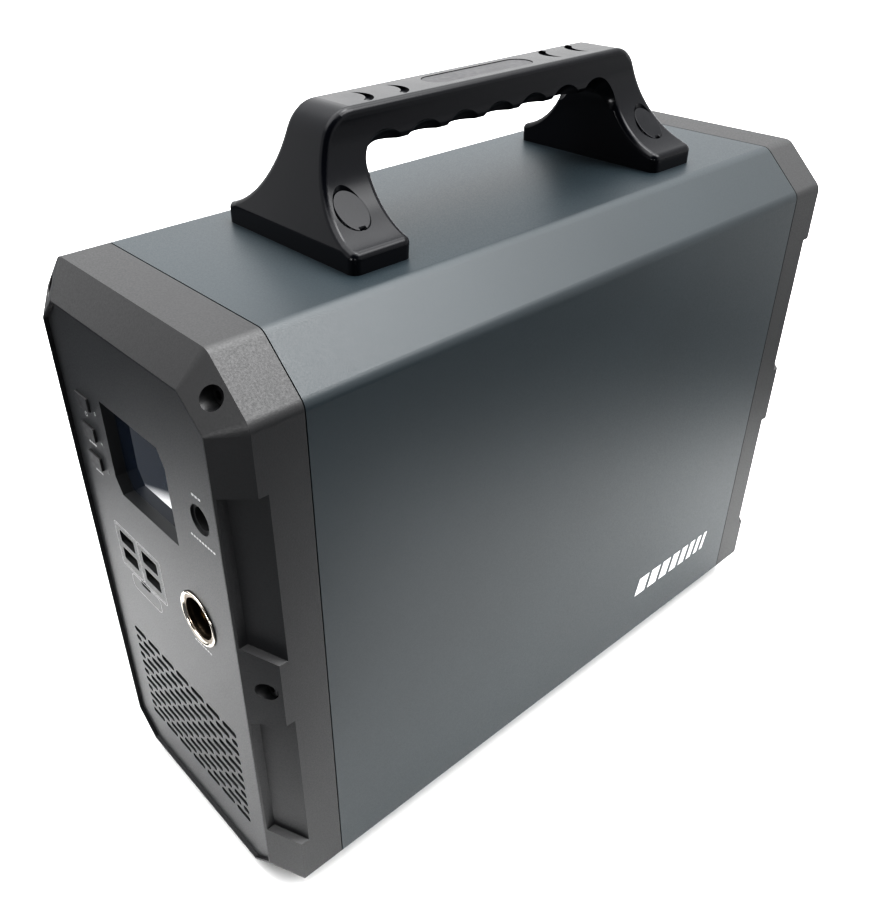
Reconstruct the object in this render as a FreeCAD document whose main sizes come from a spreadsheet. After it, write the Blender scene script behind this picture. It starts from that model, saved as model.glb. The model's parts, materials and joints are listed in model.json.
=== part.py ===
import FreeCAD, Part
import Sketcher
import math
import os
import re

# Portable power station: an eight-sided metal sleeve closed by two bevelled end caps, with a carry
# handle on top. +X is right, +Y runs from the control panel to the back, +Z is up, and the origin is
# on the floor under the middle of the case.

doc = FreeCAD.newDocument("power_station")
sheet = doc.addObject("Spreadsheet::Sheet", "sizes")

SIZES = [
    # case and end caps; heights are above the case's underside
    ("case_width", 165.0, "outside width"),
    ("case_length", 399.0, "outside length, cap to cap"),
    ("case_height", 294.0, "outside height without feet and handle"),
    ("top_chamfer_x", 23.0, "upper long chamfer, across"),
    ("top_chamfer_z", 21.7, "upper long chamfer, down"),
    ("base_chamfer_x", 15.0, "lower long chamfer, across"),
    ("base_chamfer_z", 9.7, "lower long chamfer, up"),
    ("top_round", 7.0, "rounding of the upper long edges"),
    ("base_round", 3.5, "rounding of the lower long edges"),
    ("sleeve_wall", 1.6, "metal sleeve thickness"),
    ("cap_depth", 33.1, "length of one end cap"),
    ("cap_wall", 2.6, "cap wall thickness"),
    ("seam_gap", 0.5, "gasket thickness between sleeve and cap"),
    ("tongue_length", 7.0, "cap tongue inside the sleeve"),
    ("bevel_depth", 10.2, "front bevel, along the length"),
    ("bevel_side", 15.25, "front bevel, inwards at the sides"),
    ("bevel_top", 15.3, "front bevel, down from the top"),
    ("bevel_base", 2.6, "front bevel, up from the underside"),
    ("rim_top_x", 14.8, "rim upper chamfer, across"),
    ("rim_top_z", 12.8, "rim upper chamfer, down"),
    ("rim_base_x", 15.0, "rim lower chamfer, across"),
    ("rim_base_z", 13.7, "rim lower chamfer, up"),
    ("rim_round", 2.0, "rounding of the rim corners"),
    ("rim_land", 0.9, "flat land round the rim"),
    ("face_recess", 2.0, "faceplate set back from the rim"),
    ("face_thick", 2.5, "faceplate thickness"),
    ("flange_width", 5.5, "cap flange behind the faceplate, from the rim edge"),
    ("flange_thick", 2.0, "cap flange thickness"),
    # grip recesses in the cap bevels
    ("recess_depth", 4.4, "side recess depth, along the length"),
    ("recess_length", 75.5, "side recess height"),
    ("recess_middle", 141.4, "height midway between the two recesses"),
    ("recess_spacing", 44.9, "plain bevel between the two recesses"),
    ("recess_flare_top", 3.1, "rise of the recess top across the bevel"),
    ("recess_flare_base", 5.6, "fall of the recess bottom across the bevel"),
    # cap screws and the tie rods they pull on
    ("upper_screw_x", 66.2, "upper cap screw, from the middle"),
    ("upper_screw_z", 278.9, "upper cap screw height"),
    ("middle_screw_x", 76.3, "middle cap screw, from the middle"),
    ("middle_screw_z", 141.2, "middle cap screw height"),
    ("screw_well_radius", 4.5, "counterbore of a cap screw"),
    ("screw_well_floor", 12.0, "depth of the screw seat from the rim"),
    ("screw_boss_radius", 6.0, "boss round a cap screw"),
    ("screw_head_radius", 3.9, "cap screw head"),
    ("screw_head_height", 3.0, "cap screw head height"),
    ("screw_radius", 2.0, "cap screw shank"),
    ("screw_length", 33.0, "cap screw shank length"),
    ("rod_radius", 4.0, "tie rod"),
    ("fit_gap", 0.05, "radial clearance of screws and shafts"),
    ("slide_gap", 0.2, "clearance round buttons and inserts"),
    # display
    ("display_left", 28.5, "display opening, left of the middle"),
    ("display_right", 25.8, "display opening, right of the middle"),
    ("display_low", 191.7, "display opening, lower edge"),
    ("display_high", 239.0, "display opening, upper edge"),
    ("display_cut_x", 4.4, "cut corner of the display opening, across"),
    ("display_cut_z", 8.0, "cut corner of the display opening, down"),
    ("display_well", 5.5, "depth of the glass behind the faceplate's front"),
    ("collar_wall", 1.6, "wall round the display well"),
    ("glass_thick", 1.2, "display window thickness"),
    ("module_thick", 3.6, "display module thickness"),
    # buttons
    ("button_x", 47.0, "button centres, left of the middle"),
    ("button_width", 12.0, "button width"),
    ("button_height", 7.3, "button height"),
    ("button_top_z", 231.3, "upper button's centre height"),
    ("button_pitch", 15.8, "from button to button"),
    ("button_flange_edge", 0.8, "retaining flange beyond the key"),
    ("button_flange_thick", 1.2, "retaining flange thickness"),
    ("button_stem", 1.8, "button stem radius"),
    ("switch_side", 6.0, "push switch side"),
    ("switch_depth", 2.0, "push switch body depth"),
    ("switch_dome", 1.6, "push switch plunger radius"),
    ("switch_rise", 2.6, "push switch plunger, in front of the board"),
    ("button_proud", 1.1, "button stands proud of the faceplate"),
    ("button_travel", 0.8, "button travel"),
    ("indicator_radius", 0.9, "indicator light pipe"),
    ("indicator_x", 36.6, "indicators, left of the middle"),
    ("indicator_drop", 2.4, "indicator centre below the button centre"),
    ("control_x", -12.0, "control board, from the middle"),
    ("control_z", 215.0, "control board height"),
    ("control_width", 92.0, "control board width"),
    ("control_height", 56.0, "control board height"),
    # sockets
    ("dc_x", 49.5, "charging inlet, right of the middle"),
    ("dc_z", 218.7, "charging inlet height"),
    ("dc_radius", 6.9, "charging inlet opening"),
    ("dc_flange_edge", 2.0, "inlet flange beyond its barrel"),
    ("dc_flange_thick", 1.2, "inlet flange thickness"),
    ("dc_sink", 1.2, "inlet barrel, behind the plate's front"),
    ("dc_length", 17.0, "inlet barrel length"),
    ("dc_pin", 1.1, "inlet pin radius"),
    ("dc_pin_length", 13.0, "inlet pin length"),
    ("dc_bore", 5.3, "charging inlet bore"),
    ("car_x", 32.0, "car socket, right of the middle"),
    ("car_z", 154.5, "car socket height"),
    ("car_bore", 10.5, "car socket bore"),
    ("car_ring_radius", 13.9, "car socket trim ring"),
    ("car_barrel_radius", 12.2, "car socket barrel"),
    ("car_barrel_length", 46.0, "car socket barrel length"),
    ("car_bore_depth", 42.0, "end of the full bore, behind the rim"),
    ("car_contact_radius", 4.0, "centre contact"),
    ("car_rivet_radius", 1.9, "centre contact rivet"),
    ("usb_left_x", 32.3, "left USB-A column, left of the middle"),
    ("usb_right_x", 10.5, "right USB-A column, left of the middle"),
    ("usb_upper_z", 159.6, "upper USB-A row height"),
    ("usb_lower_z", 149.0, "lower USB-A row height"),
    ("usb_width", 13.9, "USB-A opening width"),
    ("usb_height", 6.9, "USB-A opening height"),
    ("usb_depth", 14.0, "USB-A receptacle depth"),
    ("usb_c_x", 21.4, "USB-C socket, left of the middle"),
    ("usb_c_z", 138.4, "USB-C socket height"),
    ("usb_c_width", 9.2, "USB-C opening width"),
    ("usb_c_height", 3.5, "USB-C opening height"),
    ("sheet_metal", 0.4, "receptacle shell thickness"),
    ("board_thick", 1.6, "circuit board thickness"),
    # vents
    ("vent_slot", 12.0, "vent slot length"),
    ("vent_slot_height", 3.4, "vent slot height"),
    ("vent_pitch", 14.4, "slot to slot in a row"),
    ("vent_row_pitch", 6.3, "row to row"),
    ("vent_low_z", 29.0, "lowest vent row height"),
    ("vent_columns", 7, "full slots in a long row"),
    ("vent_rows", 11, "rows"),
    # fans
    ("fan_side", 60.0, "fan frame side"),
    ("fan_depth", 25.0, "fan frame depth"),
    ("fan_z", 62.0, "fan axis height"),
    ("fan_front", 12.0, "fan frame front, behind the rim"),
    ("fan_duct", 28.5, "fan duct radius"),
    ("fan_arm", 3.0, "fan arm width and thickness"),
    ("fan_corner", 4.0, "fan frame corner radius"),
    ("fan_screw_head", 2.8, "fan screw head radius"),
    ("fan_screw", 1.25, "fan screw shank radius"),
    ("rotor_radius", 27.6, "rotor blade tip radius"),
    ("rotor_hub", 12.0, "rotor hub radius"),
    ("shaft_radius", 1.5, "rotor shaft radius"),
    ("blade_root", 9.0, "fan blade start, from the axis"),
    ("blade_chord", 14.0, "fan blade width"),
    ("blade_thick", 1.4, "fan blade thickness"),
    ("blade_pitch", 38.0, "fan blade angle in degrees"),
    # mains outlets in the rear faceplate
    ("outlet_x", 27.0, "outlets, each side of the middle"),
    ("outlet_z", 205.0, "outlet height"),
    ("outlet_width", 36.0, "outlet face width"),
    ("outlet_height", 28.0, "outlet face height"),
    ("outlet_rim", 2.2, "outlet face beyond its box"),
    ("outlet_proud", 1.5, "outlet face in front of the plate"),
    ("outlet_depth", 22.0, "outlet box depth"),
    ("outlet_slot_depth", 16.0, "outlet slots, behind the plate"),
    ("blade_spacing", 6.35, "outlet blades, each side of the middle"),
    ("blade_slot", 2.2, "blade slot width"),
    ("blade_rise", 3.0, "blade slots above the outlet's middle"),
    ("earth_drop", 7.0, "earth slot below the outlet's middle"),
    ("contact_thick", 0.8, "outlet contact thickness"),
    ("contact_length", 8.0, "outlet contact length"),
    ("contact_tall", 4.0, "outlet contact height"),
    # feet and the screws that hold the battery tray
    ("tray_screw_y", 118.0, "tray screws, fore and aft of the middle"),
    ("tray_screw_radius", 2.0, "tray screw shank"),
    ("foot_screw_radius", 1.6, "foot screw shank"),
    ("foot_well", 4.5, "screw well in a foot, radius"),
    ("foot_well_depth", 2.2, "screw well in a foot, depth"),
    ("foot_screw_head", 3.4, "foot screw head radius"),
    ("screw_head_tall", 1.8, "foot and tray screw heads, height"),
    ("foot_height", 5.0, "rubber foot height below the case"),
    ("foot_radius", 9.0, "rubber foot radius"),
    ("foot_x", 57.0, "feet, each side of the middle"),
    ("foot_y", 183.0, "feet, fore and aft of the middle"),
    # handle, heights above the case top
    ("handle_half_length", 113.3, "handle base, fore and aft of the middle"),
    ("handle_half_width", 46.0, "handle base, each side of the middle"),
    ("handle_inner", 82.3, "inner face of a leg at its base"),
    ("handle_inner_top", 79.4, "inner face of a leg under the grip"),
    ("handle_lip", 8.5, "upright lip at the base"),
    ("handle_rise", 55.0, "top of the grip"),
    ("grip_under", 38.0, "underside of the grip"),
    ("grip_half_width", 14.3, "grip, each side of the middle"),
    ("flank_radius", 40.1, "concave flank radius"),
    ("flank_x", 54.3, "flank centre, each side of the middle"),
    ("flank_z", 47.8, "flank centre height"),
    ("handle_lean", 96.2, "outer face at the top, from the middle"),
    ("handle_corner", 16.0, "outer shoulder radius"),
    ("handle_inside", 12.0, "radius between leg and grip"),
    ("handle_corner_round", 4.0, "rounding of the base's upright corners"),
    ("handle_edge_round", 3.0, "rounding of the handle's other edges"),
    ("scallop_radius", 13.0, "finger scallop radius"),
    ("scallop_offset", 5.9, "finger scallop centre, outside and below the grip's edge"),
    ("scallop_pitch", 23.0, "finger scallop pitch"),
    ("pad_length", 66.0, "soft pad length"),
    ("pad_width", 15.0, "soft pad width"),
    ("pad_depth", 1.4, "soft pad recess depth"),
    ("crescent_radius", 10.5, "thumb groove outer radius"),
    ("crescent_inner_radius", 11.5, "thumb groove inner radius"),
    ("crescent_y", 76.5, "outer thumb groove centre, from the middle"),
    ("crescent_pitch", 19.5, "from one thumb groove to the next"),
    ("crescent_depth", 1.2, "thumb groove depth"),
    ("plug_x", 27.3, "handle screw, each side of the middle"),
    ("plug_y", 98.3, "handle screw, fore and aft of the middle"),
    ("plug_radius", 7.5, "screw plug radius"),
    ("plug_gap", 0.15, "clearance round a plug"),
    ("plug_face", 19.2, "middle of the plug's face"),
    ("handle_seat", 4.2, "screw seat in the handle"),
    ("handle_screw", 2.5, "handle screw shank radius"),
    ("handle_screw_hole", 2.7, "hole for the handle screw, radius"),
    ("handle_screw_head", 4.6, "handle screw head radius"),
    ("handle_head_tall", 3.5, "handle screw head height"),
    ("backing_half_width", 38.0, "backing plate, each side of the middle"),
    ("backing_half_length", 11.0, "backing plate, fore and aft of the screws"),
    ("backing_thick", 3.0, "backing plate thickness"),
    ("plug_slope", 40.5, "slope of the plug's face in degrees"),
    # battery and power electronics
    ("bulkhead_depth", 66.0, "bulkhead, behind the rim"),
    ("plate", 1.5, "folded sheet thickness"),
    ("cell_radius", 9.2, "battery cell"),
    ("cell_length", 65.0, "battery cell length"),
    ("cell_pitch", 19.4, "cell spacing"),
    ("cell_columns", 13, "cells fore and aft"),
    ("cell_rows", 6, "cells up"),
    ("cell_low_z", 15.3, "lowest cell axis height"),
    ("cell_gap", 1.0, "gap between the two banks of cells"),
    ("holder_thick", 6.0, "cell holder thickness"),
    ("holder_edge", 0.8, "holder beyond the outermost cells"),
    ("bus_width", 9.0, "bus bar width"),
    ("bus_thick", 0.4, "bus bar thickness"),
    ("tray_half_width", 69.1, "battery tray, each side of the middle"),
    ("tray_gap", 2.0, "battery tray above the sleeve's floor"),
    ("tray_flange", 14.0, "battery tray flange height"),
    ("strap_width", 16.0, "battery strap width"),
    ("strap_thick", 1.0, "battery strap thickness"),
    ("strap_y", 78.0, "battery straps, fore and aft of the middle"),
    ("bms_width", 132.0, "battery board width"),
    ("bms_length", 120.0, "battery board length"),
    ("bms_spacer_y", 50.0, "battery board spacers, fore and aft of the middle"),
    ("spacer_radius", 2.5, "board spacer radius"),
    ("spacer_height", 5.2, "battery board spacer height"),
    ("chip_width", 9.0, "power transistor width"),
    ("chip_length", 14.0, "power transistor length"),
    ("chip_height", 4.5, "power transistor height"),
    ("chip_pitch", 12.0, "power transistor spacing"),
    ("inverter_z", 150.0, "inverter tray height"),
    ("inverter_half_width", 66.0, "inverter tray, each side of the middle"),
    ("inverter_flange", 10.0, "inverter tray flange height"),
    ("inverter_board_width", 122.0, "inverter board width"),
    ("inverter_board_length", 224.0, "inverter board length"),
    ("board_screw_x", 56.0, "inverter board standoffs, each side of the middle"),
    ("board_screw_y", 105.0, "inverter board standoffs, fore and aft of the middle"),
    ("standoff_radius", 3.0, "standoff across its corners, halved"),
    ("standoff_height", 8.0, "standoff height"),
    ("sink_x", 40.0, "heat sink base, from the middle"),
    ("sink_base", 5.0, "heat sink base thickness"),
    ("sink_fin", 13.0, "heat sink fin length"),
    ("sink_height", 44.0, "heat sink height"),
    ("sink_length", 150.0, "heat sink length"),
    ("fin_thick", 1.6, "heat sink fin thickness"),
    ("fin_count", 8, "heat sink fins"),
    ("transformer_y", -72.0, "first transformer, from the middle"),
    ("transformer_pitch", 70.0, "transformer spacing"),
    ("core_width", 42.0, "transformer core width"),
    ("core_depth", 30.0, "transformer core depth"),
    ("core_height", 36.0, "transformer core height"),
    ("core_wall", 6.0, "transformer core limb"),
    ("core_leg", 7.0, "transformer middle leg radius"),
    ("can_y", 48.0, "first capacitors, from the middle"),
    ("can_pitch", 28.0, "capacitor spacing"),
    ("can_radius", 12.5, "capacitor radius"),
    ("can_height", 40.0, "capacitor height"),
    ("charge_z", 215.0, "charge board middle height"),
    ("charge_width", 104.0, "charge board width"),
    ("charge_height", 98.0, "charge board height"),
    ("charge_gap", 6.0, "charge board spacer length"),
    ("charge_post_x", 48.0, "charge board spacers, each side of the middle"),
    ("charge_post_z", 44.0, "charge board spacers, above and below its middle"),
    ("coil_x", 28.0, "charge coils, each side of the middle"),
    ("coil_drop", 20.0, "charge coils below the board's middle"),
    ("coil_radius", 13.0, "charge coil radius"),
    ("coil_length", 16.0, "charge coil length"),
]

for row, (alias, value, meaning) in enumerate(SIZES, start=1):
    sheet.set("A%d" % row, meaning)
    sheet.set("B%d" % row, str(value))
    sheet.setAlias("B%d" % row, alias)
doc.recompute()

ALIASES = {alias for alias, value, meaning in SIZES}
VECTOR = FreeCAD.Vector
X_AXIS = VECTOR(1, 0, 0)
Y_AXIS = VECTOR(0, 1, 0)
Z_AXIS = VECTOR(0, 0, 1)
TURNS = {
    "x": FreeCAD.Rotation(Y_AXIS, 90),
    "y": FreeCAD.Rotation(X_AXIS, -90),
    "z": FreeCAD.Rotation(Z_AXIS, 0),
}
TINY = 1e-6
NODES = []


# ---- binding sizes to the sheet

def cell(formula):
    """Put the sheet's name before each alias in a formula."""
    def named(match):
        word = match.group(0)
        return "sizes." + word if word in ALIASES else word
    return re.sub(r"[a-z][a-z_]*", named, str(formula))


def bind(item, prop, formula):
    item.setExpression(prop, cell(formula))


def number(formula):
    return float(sheet.evalExpression(cell(formula)))


def place(item, corner):
    for letter, formula in zip("xyz", corner):
        bind(item, "Placement.Base." + letter, formula)


def depth(formula):
    """Y of a point this far behind the front rim."""
    return "-case_length / 2 + (%s)" % formula


def height(formula):
    """Z of a point this far above the case's underside."""
    return "foot_height + (%s)" % formula


def above(formula):
    """Z of a point this far above the case's top."""
    return "foot_height + case_height + (%s)" % formula


# ---- primitives and booleans

def block(label, low, size):
    item = doc.addObject("Part::Box", label)
    for prop, formula in zip(("Length", "Width", "Height"), size):
        bind(item, prop, formula)
    place(item, low)
    return item


def rod(label, base, radius, length, axis="z"):
    item = doc.addObject("Part::Cylinder", label)
    item.Placement = FreeCAD.Placement(VECTOR(), TURNS[axis])
    bind(item, "Radius", radius)
    bind(item, "Height", length)
    place(item, base)
    return item


def hexagon(label, base, radius, length, axis="z"):
    item = doc.addObject("Part::Prism", label)
    item.Placement = FreeCAD.Placement(VECTOR(), TURNS[axis])
    item.Polygon = 6
    bind(item, "Circumradius", radius)
    bind(item, "Height", length)
    place(item, base)
    return item


def join(label, *shapes):
    item = doc.addObject("Part::MultiFuse", label)
    item.Shapes = list(shapes)
    return item


def overlap(label, *shapes):
    item = doc.addObject("Part::MultiCommon", label)
    item.Shapes = list(shapes)
    return item


def cut(label, base, *tools):
    item = doc.addObject("Part::Cut", label)
    item.Base = base
    item.Tool = tools[0] if len(tools) == 1 else join(label + "_tools", *tools)
    return item


def group(label, shapes):
    """Separate solids that share one node."""
    item = doc.addObject("Part::Compound", label)
    item.Links = list(shapes)
    return item


def mirror(label, source, normal):
    item = doc.addObject("Part::Mirroring", label)
    item.Source = source
    item.Normal = normal
    return item


def four_ways(label, source):
    """A source in the +X, +Y quarter, repeated in the other three."""
    side = mirror(label + "_left", source, X_AXIS)
    pair = [source, side]
    return pair + [mirror("%s_front_%d" % (label, i), item, Y_AXIS) for i, item in enumerate(pair)]


def soften(label, base, radius, wanted):
    """Round every edge of base that wanted(edge, shape) picks."""
    doc.recompute()
    shape = base.Shape
    item = doc.addObject("Part::Fillet", label)
    item.Base = base
    size = number(radius)
    item.Edges = [(i, size, size) for i, edge in enumerate(shape.Edges, start=1) if wanted(edge, shape)]
    doc.recompute()
    return item


def is_crease(edge, shape):
    """True where the two faces beside an edge meet at a clear angle."""
    faces = [face for face in shape.Faces if any(other.isSame(edge) for other in face.Edges)]
    if len(faces) != 2:
        return False
    middle = edge.valueAt((edge.FirstParameter + edge.LastParameter) / 2)
    normals = [face.normalAt(*face.Surface.parameter(middle)) for face in faces]
    return normals[0].getAngle(normals[1]) > math.radians(20)


def node(item, label):
    """Record a finished sub-part under its own name."""
    item.Label = label
    NODES.append(item)
    return item


# ---- sketches and bodies

def pin_down(sketch, shape, end, corner):
    """Tie one point of a sketch to its two formulas."""
    for kind, formula, axis in (("DistanceX", corner[0], -2), ("DistanceY", corner[1], -1)):
        value = number(formula)
        if abs(value) < 1e-9:
            sketch.addConstraint(Sketcher.Constraint("PointOnObject", shape, end, axis))
        else:
            index = sketch.addConstraint(Sketcher.Constraint(kind, -1, 1, shape, end, value))
            bind(sketch, "Constraints[%d]" % index, formula)


def draw_circle(sketch, across, up, radius):
    circle = Part.Circle(VECTOR(number(across), number(up), 0), Z_AXIS, number(radius))
    shape = sketch.addGeometry(circle, False)
    index = sketch.addConstraint(Sketcher.Constraint("Radius", shape, number(radius)))
    bind(sketch, "Constraints[%d]" % index, radius)
    pin_down(sketch, shape, 3, (across, up))


def draw(sketch, corners):
    """Add a closed outline; each corner is (across, up) or (across, up, rounding)."""
    if corners[0] == "circle":
        draw_circle(sketch, *corners[1:])
        return
    count = len(corners)
    points = [VECTOR(number(corner[0]), number(corner[1]), 0) for corner in corners]
    radii = [number(corner[2]) if len(corner) > 2 else 0 for corner in corners]
    arrive, leave, centres = [], [], []
    for i, point in enumerate(points):
        back = (points[i - 1] - point).normalize()
        ahead = (points[(i + 1) % count] - point).normalize()
        half_angle = back.getAngle(ahead) / 2
        arrive.append(point + back * (radii[i] / math.tan(half_angle)))
        leave.append(point + ahead * (radii[i] / math.tan(half_angle)))
        centres.append(point + (back + ahead).normalize() * (radii[i] / math.sin(half_angle)))
    sides = [sketch.addGeometry(Part.LineSegment(leave[i], arrive[(i + 1) % count]), False)
             for i in range(count)]
    for i, point in enumerate(points):
        into, out = sides[i - 1], sides[i]
        if radii[i] == 0:
            sketch.addConstraint(Sketcher.Constraint("Coincident", into, 2, out, 1))
            pin_down(sketch, out, 1, corners[i])
            continue
        left_turn = (point - points[i - 1]).cross(points[(i + 1) % count] - point).z > 0
        first, last = (arrive[i], leave[i]) if left_turn else (leave[i], arrive[i])
        near, far = (1, 2) if left_turn else (2, 1)
        angles = [math.atan2(tip.y - centres[i].y, tip.x - centres[i].x) for tip in (first, last)]
        arc = sketch.addGeometry(Part.ArcOfCircle(Part.Circle(centres[i], Z_AXIS, radii[i]), *angles), False)
        tip = sketch.addGeometry(Part.Point(point), True)
        sketch.addConstraint([
            Sketcher.Constraint("Tangent", into, 2, arc, near),
            Sketcher.Constraint("Tangent", arc, far, out, 1),
            Sketcher.Constraint("PointOnObject", tip, 1, into),
            Sketcher.Constraint("PointOnObject", tip, 1, out),
        ])
        index = sketch.addConstraint(Sketcher.Constraint("Radius", arc, radii[i]))
        bind(sketch, "Constraints[%d]" % index, corners[i][2])
        pin_down(sketch, tip, 1, corners[i])


def rectangle(across, up, width, tall, rounding=None):
    """Corners of a rectangle about a centre."""
    corners = []
    for side, end in ((-1, -1), (1, -1), (1, 1), (-1, 1)):
        corner = ("%s + %d * (%s) / 2" % (across, side, width), "%s + %d * (%s) / 2" % (up, end, tall))
        corners.append(corner if rounding is None else corner + (rounding,))
    return corners


def new_body(label):
    body = doc.addObject("PartDesign::Body", label)
    body.AllowCompound = True
    return body


def origin_item(body, role):
    return next(item for item in body.Origin.OriginFeatures if item.Role == role)


def sketch_on(body, label, plane, start, outlines):
    """A sketch on one of the body's own planes, moved to start along that plane's axis."""
    sketch = body.newObject("Sketcher::SketchObject", label + "_sketch")
    sketch.AttachmentSupport = [(origin_item(body, plane + "_Plane"), "")]
    sketch.MapMode = "FlatFace"
    bind(sketch, "AttachmentOffset.Base.z", "-(%s)" % start if plane == "XZ" else start)
    for outline in outlines:
        draw(sketch, outline)
    return sketch


def feature(body, kind, label, plane, start, length, outlines):
    """A Pad or Pocket that runs from start towards the axis's positive end."""
    before = body.Shape.Volume if body.Tip else 0
    sketch = sketch_on(body, label, plane, start, outlines)
    item = body.newObject("PartDesign::" + kind, label)
    item.Profile = sketch
    bind(item, "Length", length)
    item.Reversed = (kind == "Pad") == (plane == "XZ")
    doc.recompute()
    change = body.Shape.Volume - before
    if (change > 0) != (kind == "Pad"):
        raise ValueError("%s changes the volume by %.3f" % (label, change))
    return item


def prism(label, plane, start, length, *outlines):
    body = new_body(label)
    feature(body, "Pad", label + "_pad", plane, start, length, outlines)
    return body


def loft(body, kind, label, stages):
    """A ruled loft between outlines on the XZ plane, each stage being (start, outline)."""
    sketches = [sketch_on(body, "%s_%d" % (label, i), "XZ", start, [outline])
                for i, (start, outline) in enumerate(stages)]
    item = body.newObject("PartDesign::" + kind, label)
    item.Profile = sketches[0]
    item.Sections = sketches[1:]
    item.Ruled = True
    doc.recompute()
    return item


def repeat(body, source, label, first, second=None):
    """A pattern along one or two of the body's axes, each given as (axis, span, count)."""
    item = body.newObject("PartDesign::LinearPattern", label)
    item.Originals = [source]
    for suffix, run in (("", first), ("2", second)):
        if run:
            axis, span, count = run
            setattr(item, "Direction" + suffix, (origin_item(body, axis + "_Axis"), [""]))
            bind(item, "Length" + suffix, span)
            bind(item, "Occurrences" + suffix, count)
    body.Tip = item
    doc.recompute()
    return item


# ---- the case's eight-sided outlines

def octagon(half, low, high, top, base, top_round, base_round):
    """Anticlockwise from the lower left; top and base are (across, along) chamfer legs."""
    right = [
        ("%s - (%s)" % (half, base[0]), low, base_round),
        (half, "%s + %s" % (low, base[1]), base_round),
        (half, "%s - (%s)" % (high, top[1]), top_round),
        ("%s - (%s)" % (half, top[0]), high, top_round),
    ]
    left = [("-(%s)" % across, up, rounding) for across, up, rounding in reversed(right)]
    return right + left


def case_outline(inset="0"):
    """The sleeve's section, moved inwards by inset."""
    shrink = "(2 - sqrt(2)) * (%s)" % inset
    return octagon(
        "case_width / 2 - (%s)" % inset, height(inset), height("case_height - (%s)" % inset),
        ("top_chamfer_x - " + shrink, "top_chamfer_z - " + shrink),
        ("base_chamfer_x - " + shrink, "base_chamfer_z - " + shrink),
        "top_round - (%s)" % inset, "base_round - (%s) / 2" % inset)


def rim_outline(inset="0"):
    """The edge of the faceplate opening, moved inwards by inset."""
    shrink = "(2 - sqrt(2)) * (%s)" % inset
    return octagon(
        "case_width / 2 - bevel_side - (%s)" % inset, height("bevel_base + (%s)" % inset),
        height("case_height - bevel_top - (%s)" % inset),
        ("rim_top_x - " + shrink, "rim_top_z - " + shrink),
        ("rim_base_x - " + shrink, "rim_base_z - " + shrink),
        "rim_round", "rim_round")


# ---- sleeve and end caps

def tray_screw_holes():
    return [["circle", "%d * foot_x" % side, "%d * tray_screw_y" % end, "tray_screw_radius + fit_gap"]
            for side in (-1, 1) for end in (-1, 1)]


def make_sleeve():
    sleeve = new_body("case_sleeve")
    feature(sleeve, "Pad", "sleeve_tube", "XZ", depth("cap_depth + seam_gap"),
            "case_length - 2 * (cap_depth + seam_gap)", [case_outline(), case_outline("sleeve_wall")])
    holes = [["circle", "%d * plug_x" % side, "%d * plug_y" % end, "handle_screw_hole"]
             for side in (-1, 1) for end in (-1, 1)]
    feature(sleeve, "Pocket", "handle_holes", "XY", above("-2 * sleeve_wall"), "4 * sleeve_wall", holes)
    feature(sleeve, "Pocket", "tray_holes", "XY", height("-sleeve_wall"), "4 * sleeve_wall", tray_screw_holes())
    return node(sleeve, "case_sleeve")


def recess_cutter(label, low):
    """A side recess: an upright inner wall, a floor parallel to the bevel and flared ends."""
    inner = "case_width / 2 - bevel_side + 1"
    slope = "bevel_depth / bevel_side"
    outer = "case_width / 2 + 4"
    plan = prism(label + "_plan", "XY", height(low + " - 15"), "recess_length + 30", [
        (inner, depth("-5")),
        (outer, depth("-5")),
        (outer, depth("recess_depth + (bevel_side + 4) * " + slope)),
        (inner, depth("recess_depth + " + slope)),
    ])
    flare = "(bevel_side + 3) / (bevel_side - 1)"
    face = prism(label + "_face", "XZ", depth("-5"), "30", [
        (inner, height(low)),
        (outer, height("%s - recess_flare_base * %s" % (low, flare))),
        (outer, height("%s + recess_length + recess_flare_top * %s" % (low, flare))),
        (inner, height("%s + recess_length" % low)),
    ])
    return overlap(label, plan, face)


SCREW_PLACES = (("upper_screw_x", "upper_screw_z"), ("middle_screw_x", "middle_screw_z"))


def screw_rods(label, radius, start, length):
    """One rod along Y at each of the four cap screws."""
    rods = []
    for across, up in SCREW_PLACES:
        for side in (-1, 1):
            rods.append(rod("%s_%d" % (label, len(rods)), ("%d * %s" % (side, across), start, height(up)),
                            radius, length, "y"))
    return rods


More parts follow.
